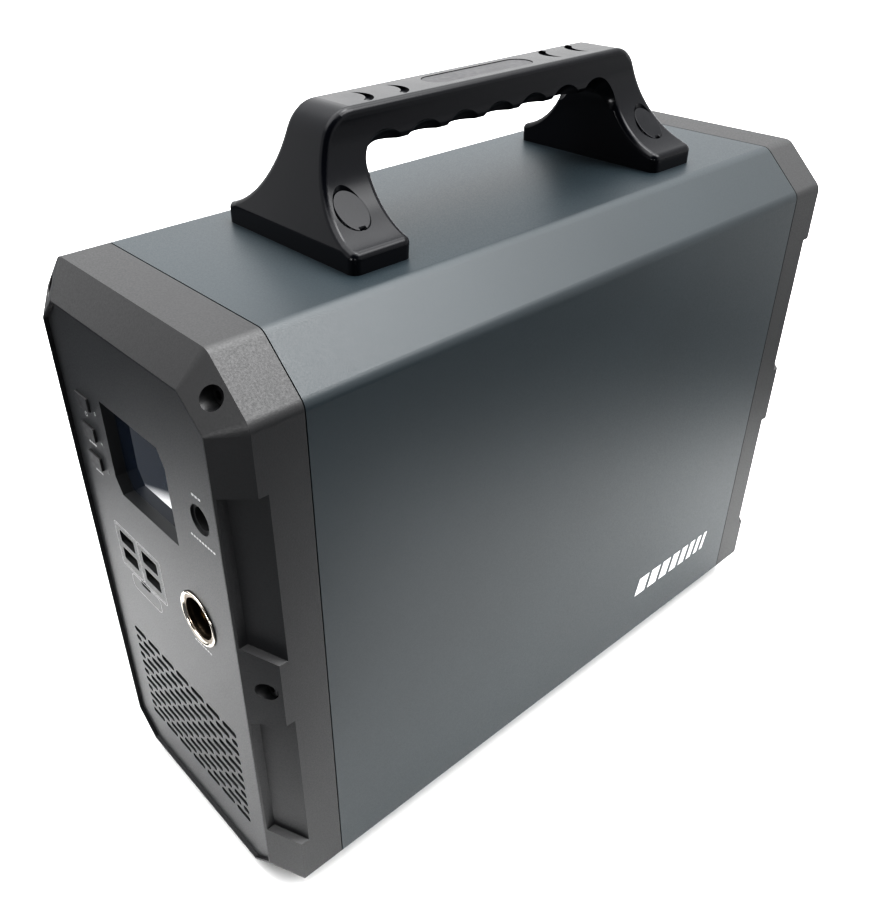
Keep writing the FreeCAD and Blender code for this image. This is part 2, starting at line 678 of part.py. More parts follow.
def make_caps():
    outside = new_body("cap_outside")
    feature(outside, "Pad", "cap_straight", "XZ", depth("bevel_depth"), "cap_depth - bevel_depth",
            [case_outline()])
    loft(outside, "AdditiveLoft", "cap_bevel",
         [(depth("bevel_depth"), case_outline()), (depth("0"), rim_outline())])
    hollow = new_body("cap_hollow")
    feature(hollow, "Pad", "cap_inside", "XZ", depth("16"), "cap_depth - 15", [case_outline("cap_wall")])
    loft(hollow, "AdditiveLoft", "cap_slope",
         [(depth("16"), case_outline("cap_wall")),
          (depth("face_recess + face_thick + flange_thick"), rim_outline("flange_width"))])
    opening = prism("cap_opening", "XZ", depth("-1"), "12", rim_outline("flange_width"))
    seat = prism("cap_seat", "XZ", depth("-1"), "1 + face_recess + face_thick", rim_outline("rim_land"))
    recesses = []
    for name, low in (("upper", "recess_middle + recess_spacing / 2"),
                      ("lower", "recess_middle - recess_spacing / 2 - recess_length")):
        cutter = recess_cutter("%s_recess" % name, low)
        recesses += [cutter, mirror("%s_recess_left" % name, cutter, X_AXIS)]
    hollowed = cut("cap_hollowed", outside, hollow)
    bosses = join("cap_bosses", *screw_rods("cap_boss", "screw_boss_radius", depth("6.5"), "cap_depth - 6.5"))
    inside_bosses = overlap("cap_bosses_inside", bosses, outside)
    tongue = prism("cap_tongue", "XZ", depth("cap_depth - 4"), "4 + tongue_length",
                   case_outline("sleeve_wall + slide_gap"), case_outline("cap_wall + sleeve_wall"))
    shell = join("cap_shell", hollowed, inside_bosses, tongue)
    wells = screw_rods("cap_well", "screw_well_radius", depth("-1"), "1 + screw_well_floor")
    bores = screw_rods("cap_bore", "screw_radius + 0.3", depth("0"), "cap_depth + 12")
    rod_seats = screw_rods("cap_rod_seat", "rod_radius + slide_gap", depth("cap_depth"), "2 * tongue_length")
    foot_bores = [rod("cap_foot_bore_%d" % i, ("%d * foot_x" % side, "-foot_y", "0"),
                      "foot_screw_radius + fit_gap", "3 * foot_height") for i, side in enumerate((-1, 1))]
    front_cap = cut("front_cap", shell, opening, seat, *recesses, *wells, *bores, *rod_seats, *foot_bores)
    node(front_cap, "front_cap")
    node(mirror("rear_cap", front_cap, Y_AXIS), "rear_cap")


def make_gaskets():
    gasket = prism("front_gasket", "XZ", depth("cap_depth"), "seam_gap",
                   case_outline("0.7"), case_outline("sleeve_wall"))
    node(gasket, "front_gasket")
    node(mirror("rear_gasket", gasket, Y_AXIS), "rear_gasket")


def make_tie_rods():
    bars = screw_rods("tie_rod", "rod_radius", depth("cap_depth"), "case_length - 2 * cap_depth")
    threads = screw_rods("rod_thread_front", "screw_radius + fit_gap", depth("cap_depth - 1"), "18")
    threads += screw_rods("rod_thread_rear", "screw_radius + fit_gap", "case_length / 2 - cap_depth - 17", "18")
    node(cut("tie_rods", group("tie_rod_bars", bars), *threads), "tie_rods")


def make_cap_screws():
    head_start = depth("screw_well_floor - screw_head_height")
    heads = screw_rods("screw_head", "screw_head_radius", head_start, "screw_head_height")
    shanks = screw_rods("screw_shank", "screw_radius", depth("screw_well_floor - 0.5"), "screw_length + 0.5")
    screws = []
    for i, (across, up) in enumerate((x, z) for x, z in SCREW_PLACES for side in (-1, 1)):
        side = (-1, 1)[i % 2]
        socket = hexagon("screw_socket_%d" % i, ("%d * %s" % (side, across), head_start, height(up)),
                         "2.0", "1.8", "y")
        screws.append(cut("cap_screw_%d" % i, join("cap_screw_blank_%d" % i, heads[i], shanks[i]), socket))
    screws += [mirror("rear_cap_screw_%d" % i, screw, Y_AXIS) for i, screw in enumerate(screws)]
    node(group("cap_screws", screws), "cap_screws")


# ---- faceplates

FACE = "face_recess"
FACE_BACK = "face_recess + face_thick"


def display_outline(grow="0"):
    """Display opening: upper right and lower left corners are cut off."""
    left = "-display_left - (%s)" % grow
    right = "display_right + (%s)" % grow
    low = height("display_low - (%s)" % grow)
    high = height("display_high + (%s)" % grow)
    return [
        ("%s + display_cut_x" % left, low), (right, low), (right, "%s - display_cut_z" % high),
        ("%s - display_cut_x" % right, high), (left, high), (left, "%s + display_cut_z" % low),
    ]


def cut_vents(body):
    """Eleven brick-bonded rows of slots; the short rows end in half slots."""
    length = "4 * face_thick"
    start = depth(FACE + " - 1")
    rounding = "0.47 * vent_slot_height"
    left = "-vent_pitch * (vent_columns - 1) / 2"
    long_row = feature(body, "Pocket", "vent_long_row", "XZ", start, length,
                       [rectangle(left, height("vent_low_z"), "vent_slot", "vent_slot_height", rounding)])
    repeat(body, long_row, "vent_long_rows",
           ("X", "vent_pitch * (vent_columns - 1)", "vent_columns"),
           ("Z", "vent_row_pitch * (vent_rows - 1)", "(vent_rows + 1) / 2"))
    up = height("vent_low_z + vent_row_pitch")
    short_row = feature(body, "Pocket", "vent_short_row", "XZ", start, length,
                        [rectangle(left + " + vent_pitch / 2", up, "vent_slot", "vent_slot_height", rounding)])
    repeat(body, short_row, "vent_short_rows",
           ("X", "vent_pitch * (vent_columns - 2)", "vent_columns - 1"),
           ("Z", "vent_row_pitch * (vent_rows - 3)", "(vent_rows - 1) / 2"))
    half = "vent_slot / 2 - (vent_pitch - vent_slot) / 2"
    reach = "vent_pitch * (vent_columns - 1) / 2 + (vent_slot - (%s)) / 2" % half
    ends = [rectangle("%d * (%s)" % (side, reach), up, half, "vent_slot_height", "0.4 * vent_slot_height")
            for side in (-1, 1)]
    end_slots = feature(body, "Pocket", "vent_end_slots", "XZ", start, length, ends)
    repeat(body, end_slots, "vent_end_rows",
           ("Z", "vent_row_pitch * (vent_rows - 3)", "(vent_rows - 1) / 2"))


def fan_post_places():
    reach = "(fan_side / 2 - 5)"
    return [("%d * %s" % (side, reach), height("fan_z + %d * %s" % (end, reach)))
            for side in (-1, 1) for end in (-1, 1)]


def make_front_faceplate():
    plate = new_body("front_faceplate")
    feature(plate, "Pad", "front_plate", "XZ", depth(FACE), "face_thick",
            [rim_outline("rim_land + 0.1")])
    feature(plate, "Pad", "display_collar", "XZ", depth(FACE_BACK + " - 0.5"),
            "display_well - face_thick + 0.5", [display_outline("collar_wall")])
    feature(plate, "Pocket", "display_opening", "XZ", depth("0"), "4 * display_well", [display_outline()])
    openings = [
        ["circle", "dc_x", height("dc_z"), "dc_radius"],
        ["circle", "car_x", height("car_z"), "car_barrel_radius + slide_gap"],
        rectangle("-usb_c_x", height("usb_c_z"), "usb_c_width", "usb_c_height", "0.45 * usb_c_height"),
    ]
    for across in ("-usb_left_x", "-usb_right_x"):
        for up in ("usb_upper_z", "usb_lower_z"):
            openings.append(rectangle(across, height(up), "usb_width", "usb_height", "0.6"))
    for i in range(3):
        up = height("button_top_z - %d * button_pitch" % i)
        openings.append(rectangle("-button_x", up, "button_width + 2 * slide_gap",
                                  "button_height + 2 * slide_gap", "1"))
        openings.append(["circle", "-indicator_x", up + " - indicator_drop", "indicator_radius + fit_gap"])
    feature(plate, "Pocket", "front_openings", "XZ", depth("0"), "4 * display_well", openings)
    cut_vents(plate)
    posts = [["circle", across, up, "3"] for across, up in fan_post_places()]
    feature(plate, "Pad", "front_fan_posts", "XZ", depth(FACE_BACK + " - 0.5"),
            "fan_front - face_recess - face_thick + 0.5", posts)
    holes = [["circle", across, up, "1.3"] for across, up in fan_post_places()]
    feature(plate, "Pocket", "front_post_holes", "XZ", depth(FACE_BACK + " + 0.5"), "fan_front", holes)
    return node(plate, "front_faceplate")


def make_rear_faceplate():
    """Built at the front and turned to the back: two outlet openings over a vent field."""
    plate = new_body("rear_plate_blank")
    feature(plate, "Pad", "rear_plate", "XZ", depth(FACE), "face_thick", [rim_outline("rim_land + 0.1")])
    openings = [rectangle("%d * outlet_x" % side, height("outlet_z"), "outlet_width - 4", "outlet_height - 4", "3")
                for side in (-1, 1)]
    feature(plate, "Pocket", "outlet_openings", "XZ", depth("0"), "4 * display_well", openings)
    cut_vents(plate)
    posts = [["circle", across, up, "3"] for across, up in fan_post_places()]
    feature(plate, "Pad", "rear_fan_posts", "XZ", depth(FACE_BACK + " - 0.5"),
            "fan_front - face_recess - face_thick + 0.5", posts)
    holes = [["circle", across, up, "1.3"] for across, up in fan_post_places()]
    feature(plate, "Pocket", "rear_post_holes", "XZ", depth(FACE_BACK + " + 0.5"), "fan_front", holes)
    return node(mirror("rear_faceplate", plate, Y_AXIS), "rear_faceplate")


# ---- display and controls

GLASS = "face_recess + display_well"


def make_display():
    node(prism("display_window", "XZ", depth(GLASS), "glass_thick", display_outline("collar_wall")),
         "display_window")
    low, high = height("display_low - 1"), height("display_high + 1")
    module = prism("display_module", "XZ", depth(GLASS + " + glass_thick"), "module_thick", [
        ("-display_left - 1", low), ("display_right + 1", low),
        ("display_right + 1", high), ("-display_left - 1", high)])
    node(module, "display_module")


CONTROL_BOARD = GLASS + " + glass_thick + module_thick"


def make_controls():
    switch_face = CONTROL_BOARD + " - switch_rise"
    stem_end = switch_face + " - button_travel - fit_gap"
    names = ("power_button", "dc_button", "ac_button")
    switches, pipes = [], []
    for i, name in enumerate(names):
        up = height("button_top_z - %d * button_pitch" % i)
        button = new_body(name)
        feature(button, "Pad", name + "_key", "XZ", depth(FACE + " - button_proud"),
                "face_thick + button_proud + button_flange_thick / 2",
                [rectangle("-button_x", up, "button_width", "button_height", "0.8")])
        feature(button, "Pad", name + "_flange", "XZ", depth(FACE_BACK + " + 2 * fit_gap"), "button_flange_thick",
                [rectangle("-button_x", up, "button_width + 2 * button_flange_edge",
                           "button_height + 2 * button_flange_edge", "1.5 * button_flange_edge")])
        feature(button, "Pad", name + "_stem", "XZ", depth(FACE_BACK + " + 1"),
                "(%s) - (%s) - 1" % (stem_end, FACE_BACK), [["circle", "-button_x", up, "button_stem"]])
        node(button, name)
        body = block("switch_body_%d" % i, ("-button_x - switch_side / 2", depth(CONTROL_BOARD + " - switch_depth"),
                                            up + " - switch_side / 2"), ("switch_side", "switch_depth", "switch_side"))
        dome = rod("switch_dome_%d" % i, ("-button_x", depth(switch_face), up), "switch_dome", "switch_rise / 2", "y")
        switches.append(join("button_switch_%d" % i, body, dome))
        pipes.append(rod("indicator_%d" % i, ("-indicator_x", depth(FACE + " - 0.1"), up + " - indicator_drop"),
                         "indicator_radius", "%s - face_recess + 0.1" % CONTROL_BOARD, "y"))
    node(group("button_switches", switches), "button_switches")
    node(group("indicator_light_pipes", pipes), "indicator_light_pipes")
    blank = prism("control_board_blank", "XZ", depth(CONTROL_BOARD), "board_thick",
                  rectangle("control_x", height("control_z"), "control_width", "control_height", "2"))
    chips = [block("control_chip_%d" % i, (
        "control_x + %d * chip_pitch" % i, depth(CONTROL_BOARD + " + board_thick"), height("control_z - 5")),
        ("chip_width", "chip_height / 3", "chip_length")) for i in range(-2, 3)]
    node(join("control_board", blank, *chips), "control_board")


# ---- sockets on the front

def make_dc_inlet():
    back = FACE_BACK + " + fit_gap"
    flange = rod("dc_flange", ("dc_x", depth(back), height("dc_z")), "dc_radius + dc_flange_edge",
                 "dc_flange_thick", "y")
    barrel = rod("dc_barrel", ("dc_x", depth(FACE + " + dc_sink"), height("dc_z")), "dc_radius - fit_gap",
                 "dc_length", "y")
    bore = rod("dc_bore_tool", ("dc_x", depth(FACE + " - 2"), height("dc_z")), "dc_bore", "16", "y")
    tail = rod("dc_pin_hole", ("dc_x", depth(FACE), height("dc_z")), "dc_pin + fit_gap", "dc_length + 3", "y")
    node(cut("dc_inlet_body", join("dc_inlet_blank", flange, barrel), bore, tail), "dc_inlet_body")
    pin = rod("dc_inlet_pin", ("dc_x", depth(FACE + " + 6.2"), height("dc_z")), "dc_pin", "dc_pin_length", "y")
    node(pin, "dc_inlet_pin")
    nut = hexagon("dc_nut_blank", ("dc_x", depth(back + " + dc_flange_thick"), height("dc_z")),
                  "dc_radius + 3", "3", "y")
    nut_hole = rod("dc_nut_hole", ("dc_x", depth(FACE), height("dc_z")), "dc_radius", "12", "y")
    node(cut("dc_inlet_nut", nut, nut_hole), "dc_inlet_nut")


def make_car_socket():
    front = depth(FACE + " - 0.9")
    ring = rod("car_ring_blank", ("car_x", front, height("car_z")), "car_ring_radius", "0.9", "y")
    ring_hole = rod("car_ring_hole", ("car_x", depth("0"), height("car_z")), "car_bore", "6", "y")
    node(cut("car_socket_ring", ring, ring_hole), "car_socket_ring")
    barrel = rod("car_barrel_blank", ("car_x", depth(FACE), height("car_z")), "car_barrel_radius",
                 "car_barrel_length", "y")
    bore = rod("car_barrel_bore", ("car_x", depth("0"), height("car_z")), "car_bore", "car_bore_depth", "y")
    recess = rod("car_contact_recess", ("car_x", depth("0"), height("car_z")), "car_contact_radius + 2",
                 "car_barrel_length", "y")
    rivet_hole = rod("car_rivet_hole", ("car_x", depth("0"), height("car_z")), "car_rivet_radius + fit_gap",
                     "2 * car_barrel_length", "y")
    node(cut("car_socket_barrel", barrel, bore, recess, rivet_hole), "car_socket_barrel")
    contact = join("car_contact_blank",
                   rod("car_contact_head", ("car_x", depth("car_bore_depth + 0.5"), height("car_z")),
                       "car_contact_radius", "2.5", "y"),
                   rod("car_contact_rivet", ("car_x", depth("car_bore_depth + 1"), height("car_z")),
                       "car_rivet_radius", "9", "y"))
    node(contact, "car_socket_contact")
    nut = rod("car_nut_blank", ("car_x", depth(FACE_BACK + " + fit_gap"), height("car_z")), "16", "5", "y")
    nut_hole = rod("car_nut_hole", ("car_x", depth("0"), height("car_z")), "car_barrel_radius + fit_gap",
                   "20", "y")
    node(cut("car_socket_nut", nut, nut_hole), "car_socket_nut")


PORT_BOARD = FACE_BACK + " + usb_depth + 0.5"


def receptacle(label, across, up, width, tall, rounding):
    """A folded metal shell, open to the front."""
    shell = new_body(label)
    inner = "2 * sheet_metal"
    feature(shell, "Pad", label + "_shell", "XZ", depth(FACE_BACK + " + fit_gap"), "usb_depth",
            [rectangle(across, up, width, tall, rounding)])
    feature(shell, "Pocket", label + "_mouth", "XZ", depth("0"), FACE_BACK + " + usb_depth - sheet_metal",
            [rectangle(across, up, "%s - %s" % (width, inner), "%s - %s" % (tall, inner),
                       "%s - sheet_metal" % rounding)])
    return shell


def make_usb():
    shells, tongues = [], []
    for across in ("-usb_left_x", "-usb_right_x"):
        for level in ("usb_upper_z", "usb_lower_z"):
            up = height(level)
            i = len(shells)
            shells.append(receptacle("usb_a_shell_%d" % i, across, up, "usb_width", "usb_height - 0.8", "0.9"))
            tongues.append(block("usb_a_tongue_%d" % i,
                                 ("%s - 5.5" % across, depth(FACE_BACK + " + 1.2"), up + " + 0.1"),
                                 ("11", "usb_depth - sheet_metal - 1.2", "1.9")))
    up = height("usb_c_z")
    shells.append(receptacle("usb_c_shell", "-usb_c_x", up, "usb_c_width", "usb_c_height", "1.5"))
    tongues.append(block("usb_c_tongue", ("-usb_c_x - 3.3", depth(FACE_BACK + " + 1"), up + " - 0.35"),
                         ("6.6", "usb_depth - sheet_metal - 1", "0.7")))
    node(group("usb_socket_shells", shells), "usb_socket_shells")
    node(group("usb_socket_tongues", tongues), "usb_socket_tongues")
    board = prism("port_board", "XZ", depth(PORT_BOARD), "board_thick",
                  rectangle("-22", height("150"), "60", "46", "2"))
    node(board, "port_board")


# ---- fans

def make_fan():
    """The front fan's frame and rotor; the rear ones mirror them."""
    middle = height("fan_z")
    front = depth("fan_front")
    frame = new_body("fan_frame_blank")
    feature(frame, "Pad", "fan_square", "XZ", front, "fan_depth",
            [rectangle("0", middle, "fan_side", "fan_side", "fan_corner"), ["circle", "0", middle, "fan_duct"]])
    arms = [rectangle("0", middle, "2 * fan_duct + 1", "fan_arm"),
            rectangle("0", middle, "fan_arm", "2 * fan_duct + 1")]
    arm_front = depth("fan_front + fan_depth - fan_arm")
    for i, arm in enumerate(arms):
        feature(frame, "Pad", "fan_arm_%d" % i, "XZ", arm_front, "fan_arm", [arm])
    feature(frame, "Pad", "fan_motor_seat", "XZ", arm_front, "fan_arm",
            [["circle", "0", middle, "rotor_hub + 1"]])
    feature(frame, "Pocket", "fan_bearing", "XZ", arm_front + " - 1", "fan_arm + 2",
            [["circle", "0", middle, "shaft_radius + fit_gap"]])
    feature(frame, "Pocket", "fan_mount_holes", "XZ", front + " - 1", "fan_depth + 2",
            [["circle", across, up, "1.7"] for across, up in fan_post_places()])
    node(frame, "front_fan_frame")
    hub = rod("rotor_hub_blank", ("0", depth("fan_front + 2"), middle), "rotor_hub", "fan_depth - 6", "y")
    shaft = rod("rotor_shaft", ("0", depth("fan_front + 4"), middle), "shaft_radius", "fan_depth - 4.5", "y")
    blades = []
    blade_count = 7
    for i in range(blade_count):
        blade = doc.addObject("Part::Box", "rotor_blade_%d" % i)
        for prop, size in (("Length", "rotor_radius - blade_root + 1"), ("Width", "blade_chord"),
                           ("Height", "blade_thick")):
            bind(blade, prop, size)
        pitch = FreeCAD.Placement(VECTOR(), FreeCAD.Rotation(X_AXIS, number("blade_pitch")))
        spin = FreeCAD.Placement(VECTOR(), FreeCAD.Rotation(Y_AXIS, 360.0 * i / blade_count))
        seat = FreeCAD.Placement(
            VECTOR(0, number(depth("fan_front + fan_depth / 2 - 1")), number(middle)), FreeCAD.Rotation())
        centre = FreeCAD.Placement(
            VECTOR(number("blade_root"), number("-blade_chord / 2"), number("-blade_thick / 2")), FreeCAD.Rotation())
        blade.Placement = seat * spin * pitch * centre
        blades.append(blade)
    reach = rod("rotor_reach", ("0", depth("fan_front + 1"), middle), "rotor_radius", "fan_depth", "y")
    wheel = overlap("rotor_wheel", join("rotor_blades", *blades), reach)
    node(join("front_fan_rotor", hub, shaft, wheel), "front_fan_rotor")
    for name in ("fan_frame", "fan_rotor"):
        source = next(item for item in NODES if item.Label == "front_" + name)
        node(mirror("rear_" + name, source, Y_AXIS), "rear_" + name)
    screws = []
    for i, (across, up) in enumerate(fan_post_places()):
        head = rod("fan_screw_head_%d" % i, (across, depth("fan_front + fan_depth"), up), "fan_screw_head", "2", "y")
        shank = rod("fan_screw_shank_%d" % i, (across, depth("fan_front - 4"), up), "fan_screw", "fan_depth + 5",
                    "y")
        screws.append(join("fan_screw_%d" % i, head, shank))
    screws += [mirror("rear_fan_screw_%d" % i, screw, Y_AXIS) for i, screw in enumerate(screws)]
    node(group("fan_screws", screws), "fan_screws")


# ---- mains outlets

def make_outlets():
    """Two-blade-and-earth outlets, built at the front and turned to the back."""
    outlets, contacts = [], []
    for side in (-1, 1):
        across = "%d * outlet_x" % side
        up = height("outlet_z")
        body = new_body("outlet_%d" % (side + 1))
        feature(body, "Pad", "outlet_face_%d" % (side + 1), "XZ", depth(FACE + " - outlet_proud"), "outlet_proud",
                [rectangle(across, up, "outlet_width", "outlet_height", "5")])
        feature(body, "Pad", "outlet_box_%d" % (side + 1), "XZ", depth(FACE + " - 0.5"), "outlet_depth",
                [rectangle(across, up, "outlet_width - 2 * outlet_rim", "outlet_height - 2 * outlet_rim", "2.5")])
        slots = [
            rectangle(across + " - blade_spacing", up + " + blade_rise", "blade_slot", "3 * blade_slot", "0.3"),
            rectangle(across + " + blade_spacing", up + " + blade_rise", "blade_slot", "3.7 * blade_slot", "0.3"),
            rectangle(across, up + " - earth_drop", "5", "5.6", "2.2"),
        ]
        feature(body, "Pocket", "outlet_slots_%d" % (side + 1), "XZ", depth("0"),
                "face_recess + outlet_slot_depth", slots)
        outlets.append(body)
        for shift, rise in (("-blade_spacing", "blade_rise"), ("blade_spacing", "blade_rise"), ("0", "-earth_drop")):
            contacts.append(block(
                "outlet_contact_%d" % len(contacts),
                ("%s + %s - contact_thick / 2" % (across, shift), depth(FACE + " + outlet_slot_depth - contact_length"),
                 "%s + %s - contact_tall / 2" % (up, rise)), ("contact_thick", "contact_length", "contact_tall")))
    node(mirror("ac_outlets", group("outlet_pair", outlets), Y_AXIS), "ac_outlets")
    node(mirror("ac_outlet_contacts", group("outlet_contact_set", contacts), Y_AXIS), "ac_outlet_contacts")


# ---- feet

def make_feet():
    foot = doc.addObject("Part::Cone", "foot_cone")
    bind(foot, "Radius1", "foot_radius - 1")
    bind(foot, "Radius2", "foot_radius")
    bind(foot, "Height", "foot_height")
    place(foot, ("foot_x", "foot_y", "0"))
    well = rod("foot_well", ("foot_x", "foot_y", "-1"), "foot_well", "foot_well_depth + 1")
    bore = rod("foot_bore", ("foot_x", "foot_y", "-1"), "foot_screw_radius + fit_gap", "foot_height + 2")
    feet = four_ways("foot", cut("rubber_foot", foot, well, bore))
    node(group("rubber_feet", feet), "rubber_feet")
    head = rod("foot_screw_head", ("foot_x", "foot_y", "foot_well_depth - screw_head_tall"), "foot_screw_head",
               "screw_head_tall")
    shank = rod("foot_screw_shank", ("foot_x", "foot_y", "2"), "foot_screw_radius", "foot_height + 1")
    screws = four_ways("foot_screw", join("foot_screw", head, shank))
    node(group("foot_screws", screws), "foot_screws")
    head = rod("tray_screw_head", ("foot_x", "tray_screw_y", "foot_height - screw_head_tall"),
               "2 * tray_screw_radius", "screw_head_tall")
    shank = rod("tray_screw_shank", ("foot_x", "tray_screw_y", "foot_height - 1"), "tray_screw_radius",
                "sleeve_wall + tray_gap + plate + 1.4")
    screws = four_ways("tray_screw", join("tray_screw", head, shank))
    node(group("tray_screws", screws), "tray_screws")


# ---- handle

def handle_front_view():
    """Upright base lip, concave flanks and a narrow grip, seen along Y."""
    body = new_body("handle_front_view")
    start, length = "-handle_half_length", "2 * handle_half_length"
    right = [("handle_half_width", above("0")), ("handle_half_width", above("flank_z")),
             ("grip_half_width", above("flank_z")), ("grip_half_width", above("handle_rise"))]
    left = [("-" + across, up) for across, up in reversed(right)]
    feature(body, "Pad", "handle_front_pad", "XZ", start, length, [right + left])
    flanks = [["circle", "%d * flank_x" % side, above("flank_z"), "flank_radius"] for side in (-1, 1)]
    feature(body, "Pocket", "handle_flanks", "XZ", start + " - 1", length + " + 2", flanks)
    return body


def handle_side_view():
    """Two leaning legs under a straight grip, seen along X."""
    body = new_body("handle_side_view")
    start, length = "-handle_half_width", "2 * handle_half_width"
    right = [
        ("handle_half_length", above("0")),
        ("handle_half_length", above("handle_lip")),
        ("handle_lean", above("handle_rise"), "handle_corner"),
    ]
    left = [("-(%s)" % corner[0],) + corner[1:] for corner in reversed(right)]
    feature(body, "Pad", "handle_outer", "YZ", start, length, [right + left])
    hand_gap = [
        ("-handle_inner", above("-1")), ("handle_inner", above("-1")),
        ("handle_inner_top", above("grip_under"), "handle_inside"),
        ("-handle_inner_top", above("grip_under"), "handle_inside"),
    ]
    feature(body, "Pocket", "handle_gap", "YZ", start + " - 1", length + " + 2", [hand_gap])
    return body


def rounded_handle():
    """The handle's two views combined, with all edges but the base's rounded."""
    blank = overlap("handle_blank", handle_front_view(), handle_side_view())
    floor = number(above("0"))

    def is_upright(edge, shape):
        heights = sorted(tip.Z for tip in edge.Vertexes)
        straight = edge.Curve.TypeId == "Part::GeomLine"
        return straight and heights[0] < floor + TINY and heights[-1] > floor + 5

    def is_raised(edge, shape):
        on_floor = all(abs(tip.Z - floor) < TINY for tip in edge.Vertexes)
        return not on_floor and is_crease(edge, shape)

    cornered = soften("handle_cornered", blank, "handle_corner_round", is_upright)
    return soften("handle_rounded", cornered, "handle_edge_round", is_raised)


def finger_scallops():
    """Scoops in both lower edges of the grip, made by balls centred outside and below them."""
    scoops = []
    for i in range(-3, 4):
        for side in (-1, 1):
            scoop = doc.addObject("Part::Sphere", "scallop_%d" % len(scoops))
            bind(scoop, "Radius", "scallop_radius")
            place(scoop, ("%d * (grip_half_width + scallop_offset)" % side, "%d * scallop_pitch" % i,
                          above("grip_under - scallop_offset")))
            scoops.append(scoop)
    return scoops


def thumb_grooves():
    """Two crescents beyond each end of the pad; the far pair is the near pair turned half round."""
    low, tall = above("handle_rise - crescent_depth"), "crescent_depth + 1"
    near = []
    for i in range(2):
        middle = "-crescent_y + %d * crescent_pitch" % i
        outer = rod("crescent_outer_%d" % i, ("0.5", middle, low), "crescent_radius", tall)
        inner = rod("crescent_inner_%d" % i, ("-2.5", middle + " - 3.5", above("handle_rise - 3")),
                    "crescent_inner_radius", "6")
        limit = block("crescent_limit_%d" % i, ("-30", middle + " + 2.5", above("handle_rise - 3")),
                      ("60", "20", "6"))
        near.append(cut("crescent_%d" % i, overlap("crescent_cap_%d" % i, outer, limit), inner))
    flipped = [mirror("crescent_flip_%d" % i, item, X_AXIS) for i, item in enumerate(near)]
    return near + [mirror("crescent_far_%d" % i, item, Y_AXIS) for i, item in enumerate(flipped)]


def handle_well(label, radius, low, high):
    """An upright hole at the handle screw in the +X, +Y quarter."""
    return rod(label, ("plug_x", "plug_y", low), radius, "(%s) - (%s)" % (high, low))


def make_handle():
    seat = prism("pad_seat", "XY", above("handle_rise - pad_depth"), "pad_depth + 1",
                 rectangle("0", "0", "pad_width", "pad_length", "0.48 * pad_width"))
    tools = []
    for label, radius, low, high in (
            ("handle_plug_well", "plug_radius + plug_gap", above("handle_seat"), above("handle_rise")),
            ("handle_screw_hole", "handle_screw_hole", above("-1"), above("handle_seat + handle_head_tall"))):
        tools += four_ways(label, handle_well(label, radius, low, high))
    tools += finger_scallops() + thumb_grooves()
    node(cut("carry_handle", rounded_handle(), seat, *tools), "carry_handle")
    pad = prism("grip_pad", "XY", above("handle_rise - pad_depth"), "pad_depth - 0.3",
                rectangle("0", "0", "pad_width - 0.4", "pad_length - 0.4", "0.47 * pad_width"))
    node(pad, "grip_pad")


def make_handle_fixings():
    plug = handle_well("plug_blank", "plug_radius", above("9"), above("handle_rise"))
    knife = doc.addObject("Part::Box", "plug_knife")
    for prop, size in (("Length", 60), ("Width", 60), ("Height", 60)):
        setattr(knife, prop, size)
    lift = FreeCAD.Placement(VECTOR(), FreeCAD.Rotation(Y_AXIS, number("plug_slope")), VECTOR(0, 0, 0))
    face_height = number(above("plug_face"))
    seat = FreeCAD.Placement(VECTOR(number("plug_x"), number("plug_y"), face_height), FreeCAD.Rotation())
    centre = FreeCAD.Placement(VECTOR(-30, -30, 0), FreeCAD.Rotation())
    knife.Placement = seat * lift * centre
    notch = block("plug_notch", ("plug_x + plug_radius - 1.3", "plug_y - 1.5", above("12")), ("3", "3", "20"))
    plugs = four_ways("handle_plug", cut("handle_plug", plug, knife, notch))
    node(group("handle_plugs", plugs), "handle_plugs")
    head = handle_well("handle_screw_head", "handle_screw_head", above("handle_seat"),
                       above("handle_seat + handle_head_tall"))
    shank = handle_well("handle_screw_shank", "handle_screw", above("-8"), above("handle_seat + 1"))
    socket = hexagon("handle_screw_socket", ("plug_x", "plug_y", above("handle_seat + 1.2")),
                     "handle_screw_head / 2", "handle_head_tall")
    screws = four_ways("handle_screw", cut("handle_screw", join("handle_screw_blank", head, shank), socket))
    node(group("handle_screws", screws), "handle_screws")
    plate = block("backing_plate_blank", ("-backing_half_width", "plug_y - backing_half_length",
                                          above("-sleeve_wall - backing_thick")),
                  ("2 * backing_half_width", "2 * backing_half_length", "backing_thick"))
    hole = handle_well("backing_hole", "handle_screw + fit_gap", above("-10"), above("0"))
    holed = cut("backing_plate", plate, hole, mirror("backing_hole_left", hole, X_AXIS))
    node(group("handle_backing_plates", [holed, mirror("backing_plate_front", holed, Y_AXIS)]),
         "handle_backing_plates")


# ---- chassis, battery and power electronics

BULKHEAD = "case_length / 2 - bulkhead_depth"


def make_bulkheads():
    bulkhead = new_body("rear_bulkhead")
    feature(bulkhead, "Pad", "bulkhead_sheet", "XZ", BULKHEAD, "plate", [case_outline("sleeve_wall + 1")])
    holes = [["circle", "%d * %s" % (side, across), height(up), "rod_radius + 0.4"]
             for across, up in SCREW_PLACES for side in (-1, 1)]
    holes.append(["circle", "0", height("fan_z"), "fan_duct + 4"])
    holes.append(rectangle("0", height("charge_z"), "2 * charge_post_x - 12", "2 * charge_post_z - 12", "6"))
    feature(bulkhead, "Pocket", "bulkhead_openings", "XZ", BULKHEAD + " - 1", "plate + 2", holes)
    node(bulkhead, "rear_bulkhead")
    node(mirror("front_bulkhead", bulkhead, Y_AXIS), "front_bulkhead")


